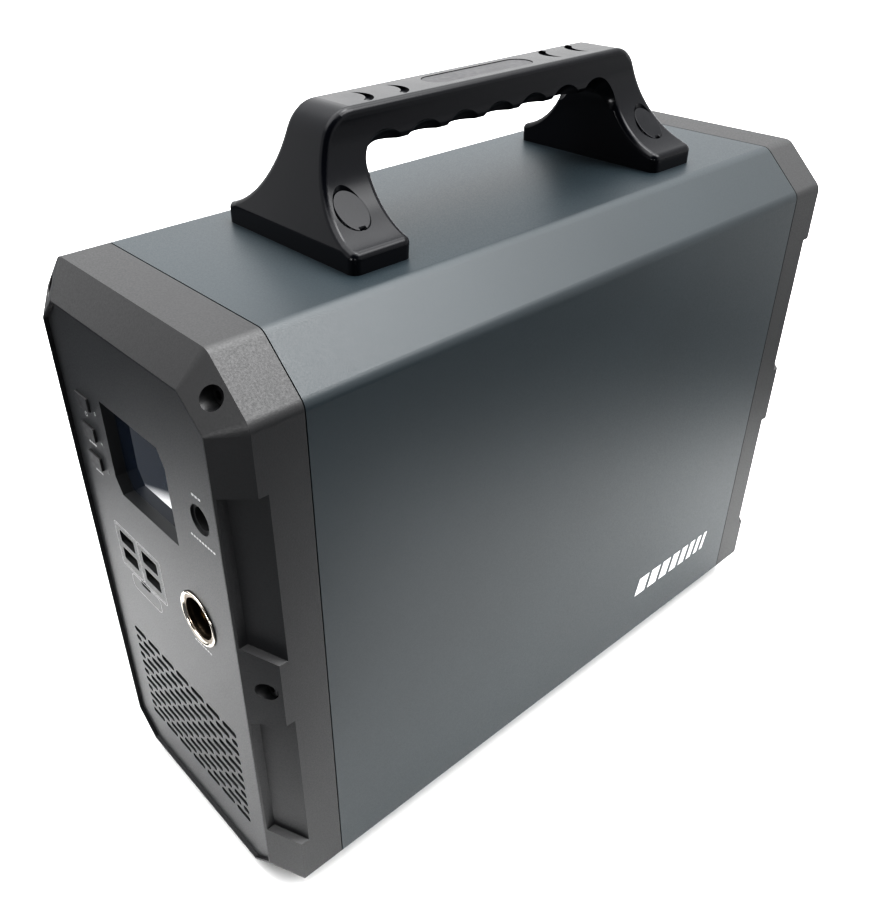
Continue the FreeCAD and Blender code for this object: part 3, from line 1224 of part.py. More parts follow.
def channel(label, half, low, flange, start, length):
    """Folded sheet: a floor with two upturned flanges."""
    base, floor, lip = height(low), height(low + " + plate"), height("%s + %s" % (low, flange))
    inner = half + " - plate"
    right = [(half, base), (half, lip), (inner, lip), (inner, floor)]
    left = [("-(%s)" % across, up) for across, up in reversed(right)]
    return prism(label, "XZ", start, length, right + left)


CELL_SPAN = "cell_pitch * (cell_columns - 1)"
CELL_RISE = "cell_pitch * (cell_rows - 1)"
BATTERY_TOP = "cell_low_z + %s + cell_radius + holder_edge" % CELL_RISE


def cell_field(body, kind, label, start, length, radius):
    first = feature(body, kind, label, "YZ", start, length,
                    [["circle", "-(%s) / 2" % CELL_SPAN, height("cell_low_z"), radius]])
    return repeat(body, first, label + "s", ("Y", CELL_SPAN, "cell_columns"), ("Z", CELL_RISE, "cell_rows"))


def make_battery():
    tray = channel("battery_tray", "tray_half_width", "sleeve_wall + tray_gap", "tray_flange",
                   "-(%s)" % BULKHEAD, "2 * (%s)" % BULKHEAD)
    feature(tray, "Pocket", "tray_screw_holes", "XY", height("sleeve_wall"), "tray_gap + 2 * plate",
            tray_screw_holes())
    node(tray, "battery_tray")
    inner = "cell_gap / 2"
    outer = "%s + cell_length" % inner
    cells = []
    for name, start in (("right", inner), ("left", "-(%s)" % outer)):
        bank = new_body("cell_bank_" + name)
        cell_field(bank, "Pad", "cell_" + name, start, "cell_length", "cell_radius")
        cells.append(bank)
    node(group("battery_cells", cells), "battery_cells")
    middle = height("cell_low_z + %s / 2" % CELL_RISE)
    holders = []
    for name, start, thick in (("right", outer + " - holder_thick", "holder_thick"),
                               ("left", "-(%s)" % outer, "holder_thick"),
                               ("middle", "-holder_thick", "2 * holder_thick")):
        holder = new_body("cell_holder_" + name)
        outline = rectangle("0", middle, "%s + 2 * cell_radius + 4" % CELL_SPAN,
                            "%s + 2 * (cell_radius + holder_edge)" % CELL_RISE, "2")
        feature(holder, "Pad", "holder_plate_" + name, "YZ", start, thick, [outline])
        cell_field(holder, "Pocket", "holder_hole_" + name, start + " - 1", "%s + 2" % thick,
                   "cell_radius + fit_gap")
        holders.append(holder)
    node(group("cell_holders", holders), "cell_holders")
    strips = []
    for name, start in (("right", outer + " + fit_gap"), ("left", "-(%s) - fit_gap - bus_thick" % outer)):
        bars = new_body("bus_bars_" + name)
        outline = rectangle("-(%s) / 2" % CELL_SPAN, middle, "bus_width", "%s + bus_width" % CELL_RISE, "1")
        first = feature(bars, "Pad", "bus_bar_" + name, "YZ", start, "bus_thick", [outline])
        repeat(bars, first, "bus_bar_row_" + name, ("Y", CELL_SPAN, "cell_columns"))
        strips.append(bars)
    node(group("cell_bus_bars", strips), "cell_bus_bars")


def make_straps():
    """Steel straps over the battery, one near each end."""
    half = "cell_gap / 2 + cell_length + 1 + strap_thick"
    low, high = height("sleeve_wall + tray_gap + plate"), height(BATTERY_TOP + " + strap_thick")
    right = [("(%s) - strap_thick" % half, low), (half, low), (half, high)]
    outline = [("-(%s)" % across, up) for across, up in reversed(right)]
    inside = [("(%s) - strap_thick" % half, high + " - strap_thick")]
    inside.append(("-(%s)" % inside[0][0], inside[0][1]))
    outline = right + outline + list(reversed(inside))
    straps = [prism("battery_strap_%d" % i, "XZ", "%d * strap_y - strap_width / 2" % side, "strap_width", outline)
              for i, side in enumerate((-1, 1))]
    node(group("battery_straps", straps), "battery_straps")


def make_battery_board():
    """Battery management board on spacers over the cell holders."""
    low = BATTERY_TOP + " + spacer_height"
    spacer = rod("bms_spacer", ("cell_gap / 2 + cell_length - holder_thick / 2", "bms_spacer_y",
                                height(BATTERY_TOP)), "spacer_radius", "spacer_height")
    node(prism("bms_board", "XY", height(low), "board_thick",
               rectangle("0", "0", "bms_width", "bms_length", "3")), "bms_board")
    chips = []
    count = 8
    for i in range(count):
        across = "(%g) * chip_pitch - chip_width / 2" % (i - (count - 1) / 2)
        chips.append(block("bms_transistor_%d" % i, (across, "bms_length / 4", height(low + " + board_thick")),
                           ("chip_width", "chip_length", "chip_height")))
    node(group("bms_transistors", chips), "bms_transistors")
    return four_ways("bms_spacer_set", spacer)


INVERTER_FLOOR = "inverter_z + plate"
INVERTER_TOP = INVERTER_FLOOR + " + standoff_height + board_thick"


def make_inverter_boards():
    spacers = make_battery_board()
    node(channel("inverter_tray", "inverter_half_width", "inverter_z", "inverter_flange", "-(%s)" % BULKHEAD,
                 "2 * (%s)" % BULKHEAD), "inverter_tray")
    standoff = hexagon("board_standoff", ("board_screw_x", "board_screw_y", height(INVERTER_FLOOR)),
                       "standoff_radius", "standoff_height")
    node(prism("inverter_board", "XY", height(INVERTER_FLOOR + " + standoff_height"), "board_thick",
               rectangle("0", "0", "inverter_board_width", "inverter_board_length", "3")), "inverter_board")
    post = rod("charge_post", ("charge_post_x", BULKHEAD + " + plate", height("charge_z + charge_post_z")),
               "spacer_radius", "charge_gap", "y")
    lower = rod("charge_post_low", ("charge_post_x", BULKHEAD + " + plate", height("charge_z - charge_post_z")),
                "spacer_radius", "charge_gap", "y")
    posts = []
    for i, item in enumerate((post, lower)):
        front = mirror("charge_post_front_%d" % i, item, Y_AXIS)
        posts += [front, mirror("charge_post_left_%d" % i, front, X_AXIS)]
    node(group("board_standoffs", four_ways("board_standoff_set", standoff) + spacers + posts),
         "board_standoffs")
    board_front = depth("bulkhead_depth - plate - charge_gap - board_thick")
    node(prism("charge_board", "XZ", board_front, "board_thick",
               rectangle("0", height("charge_z"), "charge_width", "charge_height", "3")), "charge_board")
    coils = [rod("charge_coil_%d" % i, ("%d * coil_x" % side, board_front + " - coil_length",
                                        height("charge_z - coil_drop")), "coil_radius", "coil_length", "y")
             for i, side in enumerate((-1, 1))]
    node(group("charge_coils", coils), "charge_coils")


def make_heat_sinks():
    """Upright plates with fins pointing outwards, one along each side of the inverter board."""
    sink = new_body("heat_sink_right")
    feature(sink, "Pad", "sink_base", "YZ", "sink_x", "sink_base",
            [rectangle("0", height(INVERTER_TOP + " + sink_height / 2"), "sink_length", "sink_height")])
    fin = feature(sink, "Pad", "sink_fin", "YZ", "sink_x + sink_base - fit_gap", "sink_fin + fit_gap",
                  [rectangle("0", height(INVERTER_TOP + " + fin_thick / 2"), "sink_length", "fin_thick")])
    repeat(sink, fin, "sink_fins", ("Z", "sink_height - fin_thick", "fin_count"))
    node(group("heat_sinks", [sink, mirror("heat_sink_left", sink, X_AXIS)]), "heat_sinks")


def make_power_parts():
    """Two transformers and four capacitors down the middle of the inverter board."""
    top = height(INVERTER_TOP)
    cores, windings = [], []
    for i in range(2):
        along = "transformer_y + %d * transformer_pitch" % i
        frame = block("transformer_frame_%d" % i, ("-core_width / 2", along + " - core_depth / 2", top),
                      ("core_width", "core_depth", "core_height"))
        window = block("transformer_window_%d" % i, ("-core_width / 2 + core_wall", along + " - core_depth",
                                                     top + " + core_wall"),
                       ("core_width - 2 * core_wall", "2 * core_depth", "core_height - 2 * core_wall"))
        leg = rod("transformer_leg_%d" % i, ("0", along, top + " + core_wall / 2"), "core_leg",
                  "core_height - core_wall")
        cores.append(join("transformer_core_%d" % i, cut("transformer_cut_%d" % i, frame, window), leg))
        coil = rod("transformer_coil_%d" % i, ("0", along, top + " + core_wall + slide_gap"),
                   "core_width / 2 - core_wall - slide_gap", "core_height - 2 * (core_wall + slide_gap)")
        hole = rod("transformer_hole_%d" % i, ("0", along, top), "core_leg + fit_gap", "core_height")
        windings.append(cut("transformer_winding_%d" % i, coil, hole))
    node(group("transformer_cores", cores), "transformer_cores")
    node(group("transformer_windings", windings), "transformer_windings")
    cans = []
    for side in (-1, 1):
        for i in range(2):
            cans.append(rod("capacitor_%d" % len(cans), ("%d * can_pitch / 2" % side,
                                                         "can_y + %d * can_pitch" % i, top),
                            "can_radius", "can_height"))
    node(group("bulk_capacitors", cans), "bulk_capacitors")


# ---- checks and export

def check_document():
    failed = [item.Name for item in doc.Objects if {"Invalid", "Error"} & set(item.State)]
    if failed:
        raise RuntimeError("objects in error: " + ", ".join(failed))
    for item in NODES:
        shape = item.Shape
        if shape.isNull() or not shape.isValid() or not shape.Solids:
            raise RuntimeError(item.Label + " is not a valid solid")


def main():
    for step in (make_sleeve, make_caps, make_gaskets, make_tie_rods, make_cap_screws,
                 make_front_faceplate, make_rear_faceplate, make_display, make_controls, make_dc_inlet,
                 make_car_socket, make_usb, make_fan, make_outlets, make_feet, make_handle,
                 make_handle_fixings, make_bulkheads, make_battery, make_straps, make_inverter_boards,
                 make_heat_sinks, make_power_parts):
        step()
    doc.recompute()
    check_document()
    os.makedirs("parts", exist_ok=True)
    for item in NODES:
        item.Shape.exportStep("parts/%s.step" % item.Label)
        box = item.Shape.BoundBox
        print("%-24s %3d solids  x %8.2f %8.2f  y %8.2f %8.2f  z %8.2f %8.2f" % (
            item.Label, len(item.Shape.Solids), box.XMin, box.XMax, box.YMin, box.YMax, box.ZMin, box.ZMax))


main()
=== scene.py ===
import json
import math

import bmesh
import bpy
from mathutils import Matrix, Vector


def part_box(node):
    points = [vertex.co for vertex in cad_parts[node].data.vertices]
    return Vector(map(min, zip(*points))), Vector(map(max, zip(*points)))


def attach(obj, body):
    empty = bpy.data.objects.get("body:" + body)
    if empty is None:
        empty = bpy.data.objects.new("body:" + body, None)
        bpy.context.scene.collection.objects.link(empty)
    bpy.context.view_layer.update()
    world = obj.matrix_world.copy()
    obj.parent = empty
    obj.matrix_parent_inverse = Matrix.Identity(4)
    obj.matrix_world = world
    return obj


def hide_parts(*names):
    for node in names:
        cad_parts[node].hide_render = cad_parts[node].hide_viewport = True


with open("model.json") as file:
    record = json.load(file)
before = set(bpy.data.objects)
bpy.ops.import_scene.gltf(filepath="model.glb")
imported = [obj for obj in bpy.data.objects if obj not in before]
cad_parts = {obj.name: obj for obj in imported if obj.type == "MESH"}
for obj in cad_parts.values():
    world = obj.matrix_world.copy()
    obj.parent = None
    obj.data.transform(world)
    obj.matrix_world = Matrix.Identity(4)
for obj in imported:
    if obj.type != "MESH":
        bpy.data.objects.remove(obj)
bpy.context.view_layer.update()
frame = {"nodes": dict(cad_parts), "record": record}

MM = 0.001
NODES = frame["nodes"]


# ---- material helpers

class Shader:
    """A node material: a Principled shader with procedural inputs in the object's own metres."""

    def __init__(self, name, colour, roughness, **sockets):
        self.material = bpy.data.materials.new(name)
        self.material.use_nodes = True
        self.tree = self.material.node_tree
        self.surface = self.tree.nodes["Principled BSDF"]
        self.place = self.node("ShaderNodeTexCoord").outputs["Object"]
        self.set("Base Color", (*colour, 1))
        self.set("Roughness", roughness)
        for socket, value in sockets.items():
            self.set(socket.replace("_", " "), value)
        self.height = None

    def node(self, kind, **properties):
        item = self.tree.nodes.new(kind)
        for name, value in properties.items():
            setattr(item, name, value)
        return item

    def link(self, output, target):
        self.tree.links.new(output, target)

    def set(self, socket, value):
        self.surface.inputs[socket].default_value = value

    def noise(self, size, detail=3, roughness=0.5, stretch=(1, 1, 1)):
        """Noise whose features are about this size in metres."""
        mapping = self.node("ShaderNodeMapping")
        mapping.inputs["Scale"].default_value = stretch
        self.link(self.place, mapping.inputs["Vector"])
        item = self.node("ShaderNodeTexNoise")
        item.inputs["Scale"].default_value = 1 / size
        item.inputs["Detail"].default_value = detail
        item.inputs["Roughness"].default_value = roughness
        self.link(mapping.outputs["Vector"], item.inputs["Vector"])
        return item.outputs["Fac"]

    def grains(self, size):
        """Rounded cells of about this size, as the pits of a moulded texture."""
        item = self.node("ShaderNodeTexVoronoi", feature="SMOOTH_F1")
        item.inputs["Scale"].default_value = 1 / size
        self.link(self.place, item.inputs["Vector"])
        return item.outputs["Distance"]

    def ranged(self, value, low, high, start=0.3, end=0.7):
        item = self.node("ShaderNodeMapRange")
        for socket, number in (("From Min", start), ("From Max", end), ("To Min", low), ("To Max", high)):
            item.inputs[socket].default_value = number
        self.link(value, item.inputs["Value"])
        return item.outputs["Result"]

    def vary_roughness(self, value, low, high):
        self.link(self.ranged(value, low, high), self.surface.inputs["Roughness"])

    def vary_colour(self, value, dark, light):
        item = self.node("ShaderNodeMix", data_type="RGBA")
        item.inputs["A"].default_value = (*dark, 1)
        item.inputs["B"].default_value = (*light, 1)
        self.link(self.ranged(value, 0, 1), item.inputs["Factor"])
        self.link(item.outputs["Result"], self.surface.inputs["Base Color"])

    def bump(self, value, depth, strength=1.0):
        """Relief of this depth in metres; a second call adds to the first."""
        item = self.node("ShaderNodeBump")
        item.inputs["Distance"].default_value = depth
        item.inputs["Strength"].default_value = strength
        self.link(value, item.inputs["Height"])
        if self.height:
            self.link(self.height, item.inputs["Normal"])
        self.height = item.outputs["Normal"]
        self.link(self.height, self.surface.inputs["Normal"])


def case_paint():
    """Satin powder coat: dark blue-grey with a faint orange-peel and a fine grain."""
    shader = Shader("case_paint", (0.011, 0.018, 0.022), 0.4)
    shader.vary_colour(shader.noise(0.09, 2), (0.010, 0.0165, 0.0205), (0.012, 0.0195, 0.0240))
    shader.vary_roughness(shader.noise(0.0006, 2), 0.36, 0.46)
    shader.bump(shader.noise(0.004, 2), 0.00002, 0.6)
    shader.bump(shader.noise(0.0005, 2), 0.00001, 0.6)
    return shader


def cap_plastic():
    """Charcoal moulding with a spark-eroded texture."""
    shader = Shader("cap_plastic", (0.006, 0.0062, 0.007), 0.45, Specular_IOR_Level=0.58)
    shader.vary_colour(shader.noise(0.06, 2), (0.005, 0.0052, 0.006), (0.007, 0.0072, 0.0082))
    shader.vary_roughness(shader.noise(0.0008, 3), 0.42, 0.54)
    shader.bump(shader.grains(0.00055), 0.00003, 0.7)
    return shader


def faceplate_finish():
    """Satin dark plate with a fine silk grain."""
    shader = Shader("faceplate_finish", (0.020, 0.021, 0.022), 0.4, Specular_IOR_Level=0.6)
    shader.vary_colour(shader.noise(0.05, 2), (0.018, 0.019, 0.020), (0.022, 0.023, 0.0245))
    shader.vary_roughness(shader.noise(0.0007, 3), 0.36, 0.46)
    shader.bump(shader.noise(0.0005, 2), 0.00001, 0.6)
    return shader


def handle_plastic():
    """Semi-gloss black moulding with soft flow marks."""
    shader = Shader("handle_plastic", (0.003, 0.0034, 0.005), 0.2, Specular_IOR_Level=0.2)
    shader.vary_roughness(shader.noise(0.012, 4), 0.18, 0.23)
    shader.bump(shader.noise(0.0009, 2), 0.00001, 0.5)
    return shader


def plain(name, colour, roughness, grain=0.001, depth=0.00001, spread=0.06, **sockets):
    """A material with slight variation of colour and gloss, and a fine relief."""
    shader = Shader(name, colour, roughness, **sockets)
    light = [min(1, channel * 1.15 + 0.002) for channel in colour]
    dark = [channel * 0.88 for channel in colour]
    shader.vary_colour(shader.noise(grain * 25, 2), dark, light)
    shader.vary_roughness(shader.noise(grain * 3, 3), max(0.02, roughness - spread), roughness + spread)
    shader.bump(shader.noise(grain, 2), depth, 0.5)
    return shader


def brushed(name, colour, roughness):
    """Metal with fine lines along the length of the case."""
    shader = Shader(name, colour, roughness, Metallic=1.0)
    shader.vary_roughness(shader.noise(0.0012, 3, stretch=(1, 0.06, 1)), roughness - 0.08, roughness + 0.1)
    shader.bump(shader.noise(0.0006, 2, stretch=(1, 0.05, 1)), 0.000008, 0.5)
    return shader


def circuit_board():
    """Green solder mask with darker copper pours showing through."""
    shader = Shader("circuit_board", (0.01, 0.08, 0.03), 0.35)
    shader.vary_colour(shader.noise(0.006, 1), (0.008, 0.06, 0.022), (0.02, 0.12, 0.045))
    shader.bump(shader.noise(0.002, 1), 0.00003, 0.5)
    return shader


def liquid_crystal():
    """Unlit panel: dark navy, a little lighter where the segments' backing shows."""
    shader = Shader("display_body", (0.012, 0.02, 0.04), 0.25)
    shader.vary_colour(shader.noise(0.02, 1), (0.010, 0.017, 0.034), (0.014, 0.024, 0.046))
    shader.bump(shader.noise(0.0004, 1), 0.000002, 0.4)
    return shader


def display_glass():
    """Polished smoked pane over the panel: nearly all reflection."""
    shader = Shader("display_glass", (0.004, 0.010, 0.022), 0.02,
                    IOR=2.2, Coat_Weight=1.0, Coat_Roughness=0.02)
    shader.vary_colour(shader.noise(0.02, 1), (0.003, 0.008, 0.018), (0.005, 0.011, 0.024))
    shader.bump(shader.noise(0.03, 1), 0.000005, 0.3)
    return shader


def make_materials():
    """One material for each of the record's slots."""
    shaders = {
        "case_paint": case_paint(),
        "cap_plastic": cap_plastic(),
        "faceplate_finish": faceplate_finish(),
        "handle_plastic": handle_plastic(),
        "circuit_board": circuit_board(),
        "display_body": liquid_crystal(),
        "display_glass": display_glass(),
        "gasket_rubber": plain("gasket_rubber", (0.01, 0.01, 0.01), 0.7),
        "foot_rubber": plain("foot_rubber", (0.015, 0.015, 0.015), 0.75, depth=0.00004),
        "pad_rubber": plain("pad_rubber", (0.032, 0.032, 0.034), 0.62, grain=0.0006, depth=0.00003),
        "button_plastic": plain("button_plastic", (0.018, 0.018, 0.019), 0.4),
        "moulded_black": plain("moulded_black", (0.015, 0.015, 0.016), 0.5),
        "fan_plastic": plain("fan_plastic", (0.012, 0.012, 0.012), 0.5),
        "outlet_plastic": plain("outlet_plastic", (0.02, 0.02, 0.021), 0.3),
        "chip_black": plain("chip_black", (0.015, 0.015, 0.015), 0.55),
        "light_pipe": plain("light_pipe", (0.35, 0.37, 0.35), 0.25, Transmission_Weight=0.4),
        "capacitor_sleeve": plain("capacitor_sleeve", (0.02, 0.02, 0.05), 0.3),
        "cell_wrap": plain("cell_wrap", (0.05, 0.2, 0.13), 0.35),
        "ferrite": plain("ferrite", (0.04, 0.04, 0.045), 0.6, depth=0.00003),
        "contact_brass": plain("contact_brass", (0.7, 0.5, 0.2), 0.25, Metallic=1.0),
        "copper_winding": plain("copper_winding", (0.55, 0.22, 0.09), 0.35, Metallic=1.0),
        "chrome_trim": plain("chrome_trim", (0.62, 0.58, 0.52), 0.16, spread=0.05, Metallic=1.0),
        "black_screws": plain("black_screws", (0.05, 0.05, 0.053), 0.35, spread=0.08, Metallic=1.0),
        "plated_steel": brushed("plated_steel", (0.6, 0.61, 0.62), 0.35),
        "bus_nickel": brushed("bus_nickel", (0.62, 0.6, 0.54), 0.3),
        "heat_sink_metal": brushed("heat_sink_metal", (0.7, 0.71, 0.72), 0.4),
    }
    return {slot: shader.material for slot, shader in shaders.items()}


MATERIALS = make_materials()
# the bore's dark brown metal: partly its own tone, partly darkened as painted shade deep in the socket
SOCKET_BORE_PAINTED_SHADE = plain("socket_bore_painted_shade", (0.15, 0.12, 0.09), 0.34, Metallic=1.0).material


def paint_nodes():
    for part in frame["record"]["subparts"]:
        item = NODES[part["node"]]
        item.data.materials.clear()
        item.data.materials.append(MATERIALS[part["material_slot"]])
    # the socket barrel takes the same metal, darkened as painted shade deep in the socket
    NODES["car_socket_barrel"].data.materials[0] = SOCKET_BORE_PAINTED_SHADE


# ---- pieces that stand for CAD nodes

def keep(item, name, slot, *replaced, body="root"):
    """Put a finished piece in the scene, on its body and with its slot's material."""
    item.name = name
    item.data.materials.clear()
    item.data.materials.append(MATERIALS[slot])
    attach(item, body)
    if replaced:
        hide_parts(*replaced)
    return item


def from_mesh(form, name):
    mesh = bpy.data.meshes.new(name)
    form.to_mesh(mesh)
    form.free()
    item = bpy.data.objects.new(name, mesh)
    bpy.context.scene.collection.objects.link(item)
    return item


def softened(node, width, segments=3, crease=28, body="root"):
    """A copy of a CAD node with its sharp edges rounded over to this width."""
    form = bmesh.new()
    form.from_mesh(NODES[node].data)
    bmesh.ops.remove_doubles(form, verts=form.verts, dist=0.000002)
    bmesh.ops.dissolve_limit(form, angle_limit=math.radians(0.6), verts=form.verts, edges=form.edges)
    for face in form.faces:
        face.smooth = True
    item = from_mesh(form, node + "_soft")
    rounding = item.modifiers.new("rounding", "BEVEL")
    rounding.width = width
    rounding.segments = segments
    rounding.limit_method = "ANGLE"
    rounding.angle_limit = math.radians(crease)
    rounding.loop_slide = True
    flatten = item.modifiers.new("flatten", "WEIGHTED_NORMAL")
    flatten.weight = 100
    flatten.keep_sharp = False
    slot = next(part["material_slot"] for part in frame["record"]["subparts"] if part["node"] == node)
    return keep(item, node + "_soft", slot, node, body=body)


def spun(profile, centre, steps=96):
    """A closed ring turned about a line along Y: profile is (radius, y) in millimetres."""
    form = bmesh.new()
    loops = []
    for step in range(steps):
        turn = 2 * math.pi * step / steps
        loops.append([form.verts.new((
            centre[0] + radius * math.cos(turn) * MM, along * MM, centre[1] + radius * math.sin(turn) * MM,
        )) for radius, along in profile])
    for step in range(steps):
        here, there = loops[step], loops[(step + 1) % steps]
        for i in range(len(profile)):
            j = (i + 1) % len(profile)
            form.faces.new((here[i], here[j], there[j], there[i])).smooth = True
    bmesh.ops.recalc_face_normals(form, faces=form.faces)
    return from_mesh(form, "spun")


def chrome_ring():
    """Rolled outer lip, a funnel and a short, duller lining down the car socket's bore, its metal darkened
    as painted shade deep in the socket.
    """
    low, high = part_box("car_socket_ring")
    centre = ((low.x + high.x) / 2, (low.z + high.z) / 2)
    front, outer = low.y / MM, (high.x - low.x) / 2 / MM
    roll = 0.75
    lip = [(outer - roll + roll * math.cos(math.radians(angle)),
            front + 0.62 - roll * math.sin(math.radians(angle))) for angle in range(0, 91, 15)]
    funnel_depth = 1.3
    hollow = [(outer - 1.3, front + 0.05), (outer - 1.75, front + 0.5), (outer - 2.05, front + funnel_depth),
              (outer - 2.3, front + 1.7), (outer - 2.9, front + 1.9), (outer - 3.30, front + 2.2),
              (outer - 3.45, front + 3.0), (outer - 3.46, front + 9.0), (outer - 3.2, front + 9.0),
              (outer - 2.9, front + 2.4), (outer - 1.6, front + 2.2)]
    ring = keep(spun(lip + hollow, centre), "car_socket_lip", "chrome_trim", "car_socket_ring")
    ring.data.materials.append(SOCKET_BORE_PAINTED_SHADE)
    # faces deeper than the funnel take the bore metal, darkened as painted shade
    for face in ring.data.polygons:
        if face.center.y > (front + funnel_depth) * MM:
            face.material_index = 1


def slab(form, outline, inner=None, depth=0.00005):
    """Thin raised print on the front: outline points are (x, z) in millimetres on the faceplate."""
    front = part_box("front_faceplate")[0].y
    outlines = [ring for ring in (outline, inner) if ring]
    near, far = [
        [[form.verts.new((x * MM, along, z * MM)) for x, z in ring] for ring in outlines]
        for along in (front - depth, front + depth)
    ]
    if inner:
        count = len(outline)
        for i in range(count):
            j = (i + 1) % count
            form.faces.new((near[0][i], near[0][j], near[1][j], near[1][i]))
            form.faces.new((far[0][i], far[1][i], far[1][j], far[0][j]))
    else:
        form.faces.new(near[0])
        form.faces.new(reversed(far[0]))
    for ring in range(len(near)):
        count = len(near[ring])
        for i in range(count):
            j = (i + 1) % count
            form.faces.new((near[ring][i], far[ring][i], far[ring][j], near[ring][j]))


def rounded(left, low, right, high, radius, steps=5):
    """Corners of a rounded rectangle, anticlockwise."""
    points = []
    corners = ((right - radius, low + radius, -90), (right - radius, high - radius, 0),
               (left + radius, high - radius, 90), (left + radius, low + radius, 180))
    for x, z, start in corners:
        for step in range(steps + 1):
            turn = math.radians(start + 90 * step / steps)
            points.append((x + radius * math.cos(turn), z + radius * math.sin(turn)))
    return points


def frame_line(form, left, low, right, high, radius, line=0.3):
    slab(form, rounded(left, low, right, high, radius),
         rounded(left + line, low + line, right - line, high - line, max(0.1, radius - line)))


def dashes(form, count, left, low, wide, tall, pitch, radius):
    """A row of short dashes, where a word would be."""
    for i in range(count):
        start = left + pitch * i
        slab(form, rounded(start, low, start + wide, low + tall, radius))


def usb_frames(form):
    """Double outlines round both pairs of tall sockets, and a single one round the small socket."""
    low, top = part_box("usb_socket_shells")
    left, right, high = low.x / MM, top.x / MM, top.z / MM
    middle = (left + right) / 2
    frame_line(form, left - 4.4, high - 22.6, middle - 0.2, high + 4.4, 1.6)
    frame_line(form, left - 3.2, high - 21.4, middle - 1.3, high + 3.2, 1.0, 0.16)
    frame_line(form, middle + 0.2, high - 22.6, right + 4.4, high + 4.4, 1.6)
    frame_line(form, middle + 1.3, high - 21.4, right + 3.2, high + 3.2, 1.0, 0.16)
    frame_line(form, middle - 14.4, high - 33.0, middle + 14.4, high - 23.6, 3.2)


def power_sign(form, x, z):
    """A ring with an upright stroke through its top."""
    sides = 24
    rings = []
    for radius in (1.25, 0.9):
        turns = [math.tau * i / sides for i in range(sides)]
        rings.append([(x + radius * math.cos(turn), z + radius * math.sin(turn)) for turn in turns])
    slab(form, *rings)
    slab(form, rounded(x - 0.17, z + 0.4, x + 0.17, z + 1.8, 0.1))


def middle_low_high(node):
    """A node's middle along X, its lowest and its highest point, in millimetres."""
    low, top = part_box(node)
    return (low.x + top.x) / 2 / MM, low.z / MM, top.z / MM


def face_print():
    """Fine outlines round the sockets, a power sign, and plain dashes where words would be."""
    form = bmesh.new()
    usb_frames(form)
    under_button = 2.2
    x, low, _ = middle_low_high("power_button")
    power_sign(form, x, low - under_button)
    for name in ("dc_button", "ac_button"):
        x, low, _ = middle_low_high(name)
        dashes(form, 4, x - 3.6, low - under_button - 0.5, 1.4, 1.0, 1.9, 0.2)
    x, low, high = middle_low_high("dc_inlet_body")
    dashes(form, 3, x - 3.4, high + 1.6, 1.8, 1.1, 2.4, 0.3)
    dashes(form, 9, x - 9.6, low - 3.4, 1.5, 1.0, 2.1, 0.25)
    x, low, _ = middle_low_high("car_socket_ring")
    dashes(form, 7, x - 7.2, low - 3.6, 1.5, 1.0, 2.1, 0.25)
    bmesh.ops.recalc_face_normals(form, faces=form.faces)
    item = keep(from_mesh(form, "face_print"), "face_print", "faceplate_finish")
    item.data.materials[0] = printed("printed_grey", 0.5)


def wall_mark():
    """A plain row of leaning bars, tapering towards the back, on the right wall."""
    form = bmesh.new()
    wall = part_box("case_sleeve")[1].x
    along, low = 68.0, 46.0
    tall, lean, gap = 12.5, 3.2, 3.2
    widest, narrower = 9.5, 0.95
    ink = 0.00006
    for i in range(8):
        wide = widest - i * narrower
        corners = [(along, low), (along + wide, low),
                   (along + wide + lean, low + tall), (along + lean, low + tall)]
        near = [form.verts.new((wall + ink, y * MM, z * MM)) for y, z in corners]
        far = [form.verts.new((wall - ink, y * MM, z * MM)) for y, z in corners]
        form.faces.new(near)
        form.faces.new(reversed(far))
        for a in range(4):
            b = (a + 1) % 4
            form.faces.new((near[a], far[a], far[b], near[b]))
        along += wide + gap
    bmesh.ops.recalc_face_normals(form, faces=form.faces)
    item = keep(from_mesh(form, "wall_mark"), "wall_mark", "case_paint")
    item.data.materials[0] = printed("printed_white", 0.78)


def printed(name, light):
    """Screen-printed ink, a little uneven."""
    shader = Shader(name, (light, light, light), 0.5)
    shader.vary_colour(shader.noise(0.0012, 3), (light - 0.1,) * 3, (light + 0.06,) * 3)
    shader.bump(shader.noise(0.0006, 2), 0.000006, 0.5)
    return shader.material


softened("front_cap", 0.0013, 4)
softened("rear_cap", 0.0013, 4)
softened("front_faceplate", 0.0005, 2)
softened("rear_faceplate", 0.0005, 2)
softened("ac_outlets", 0.0004, 2)
softened("handle_plugs", 0.0004, 2)
softened("rubber_feet", 0.0006, 2)
for button in ("power_button", "dc_button", "ac_button"):
    softened(button, 0.0004, 3, body=button)
chrome_ring()
face_print()
wall_mark()


# ---- stage, light and camera

# painted shade: beyond these lines the floor is painted dark for reflected rays: a direction, and where the
# painted shade starts and is full
PAINTED_SHADE_BEYOND = (
    ((0.90, 0.435, 0), 0.295, 0.38),
    ((-0.366, -0.931, 0), 0.385, 0.40),
    ((0.747, -0.664, 0), 0.22, 0.28),
)
WHITE_FLOOR = (0.80, 0.80, 0.80, 1)
# the colour of the floor's painted shade
PAINTED_SHADE_FLOOR = (0.045, 0.047, 0.05, 1)


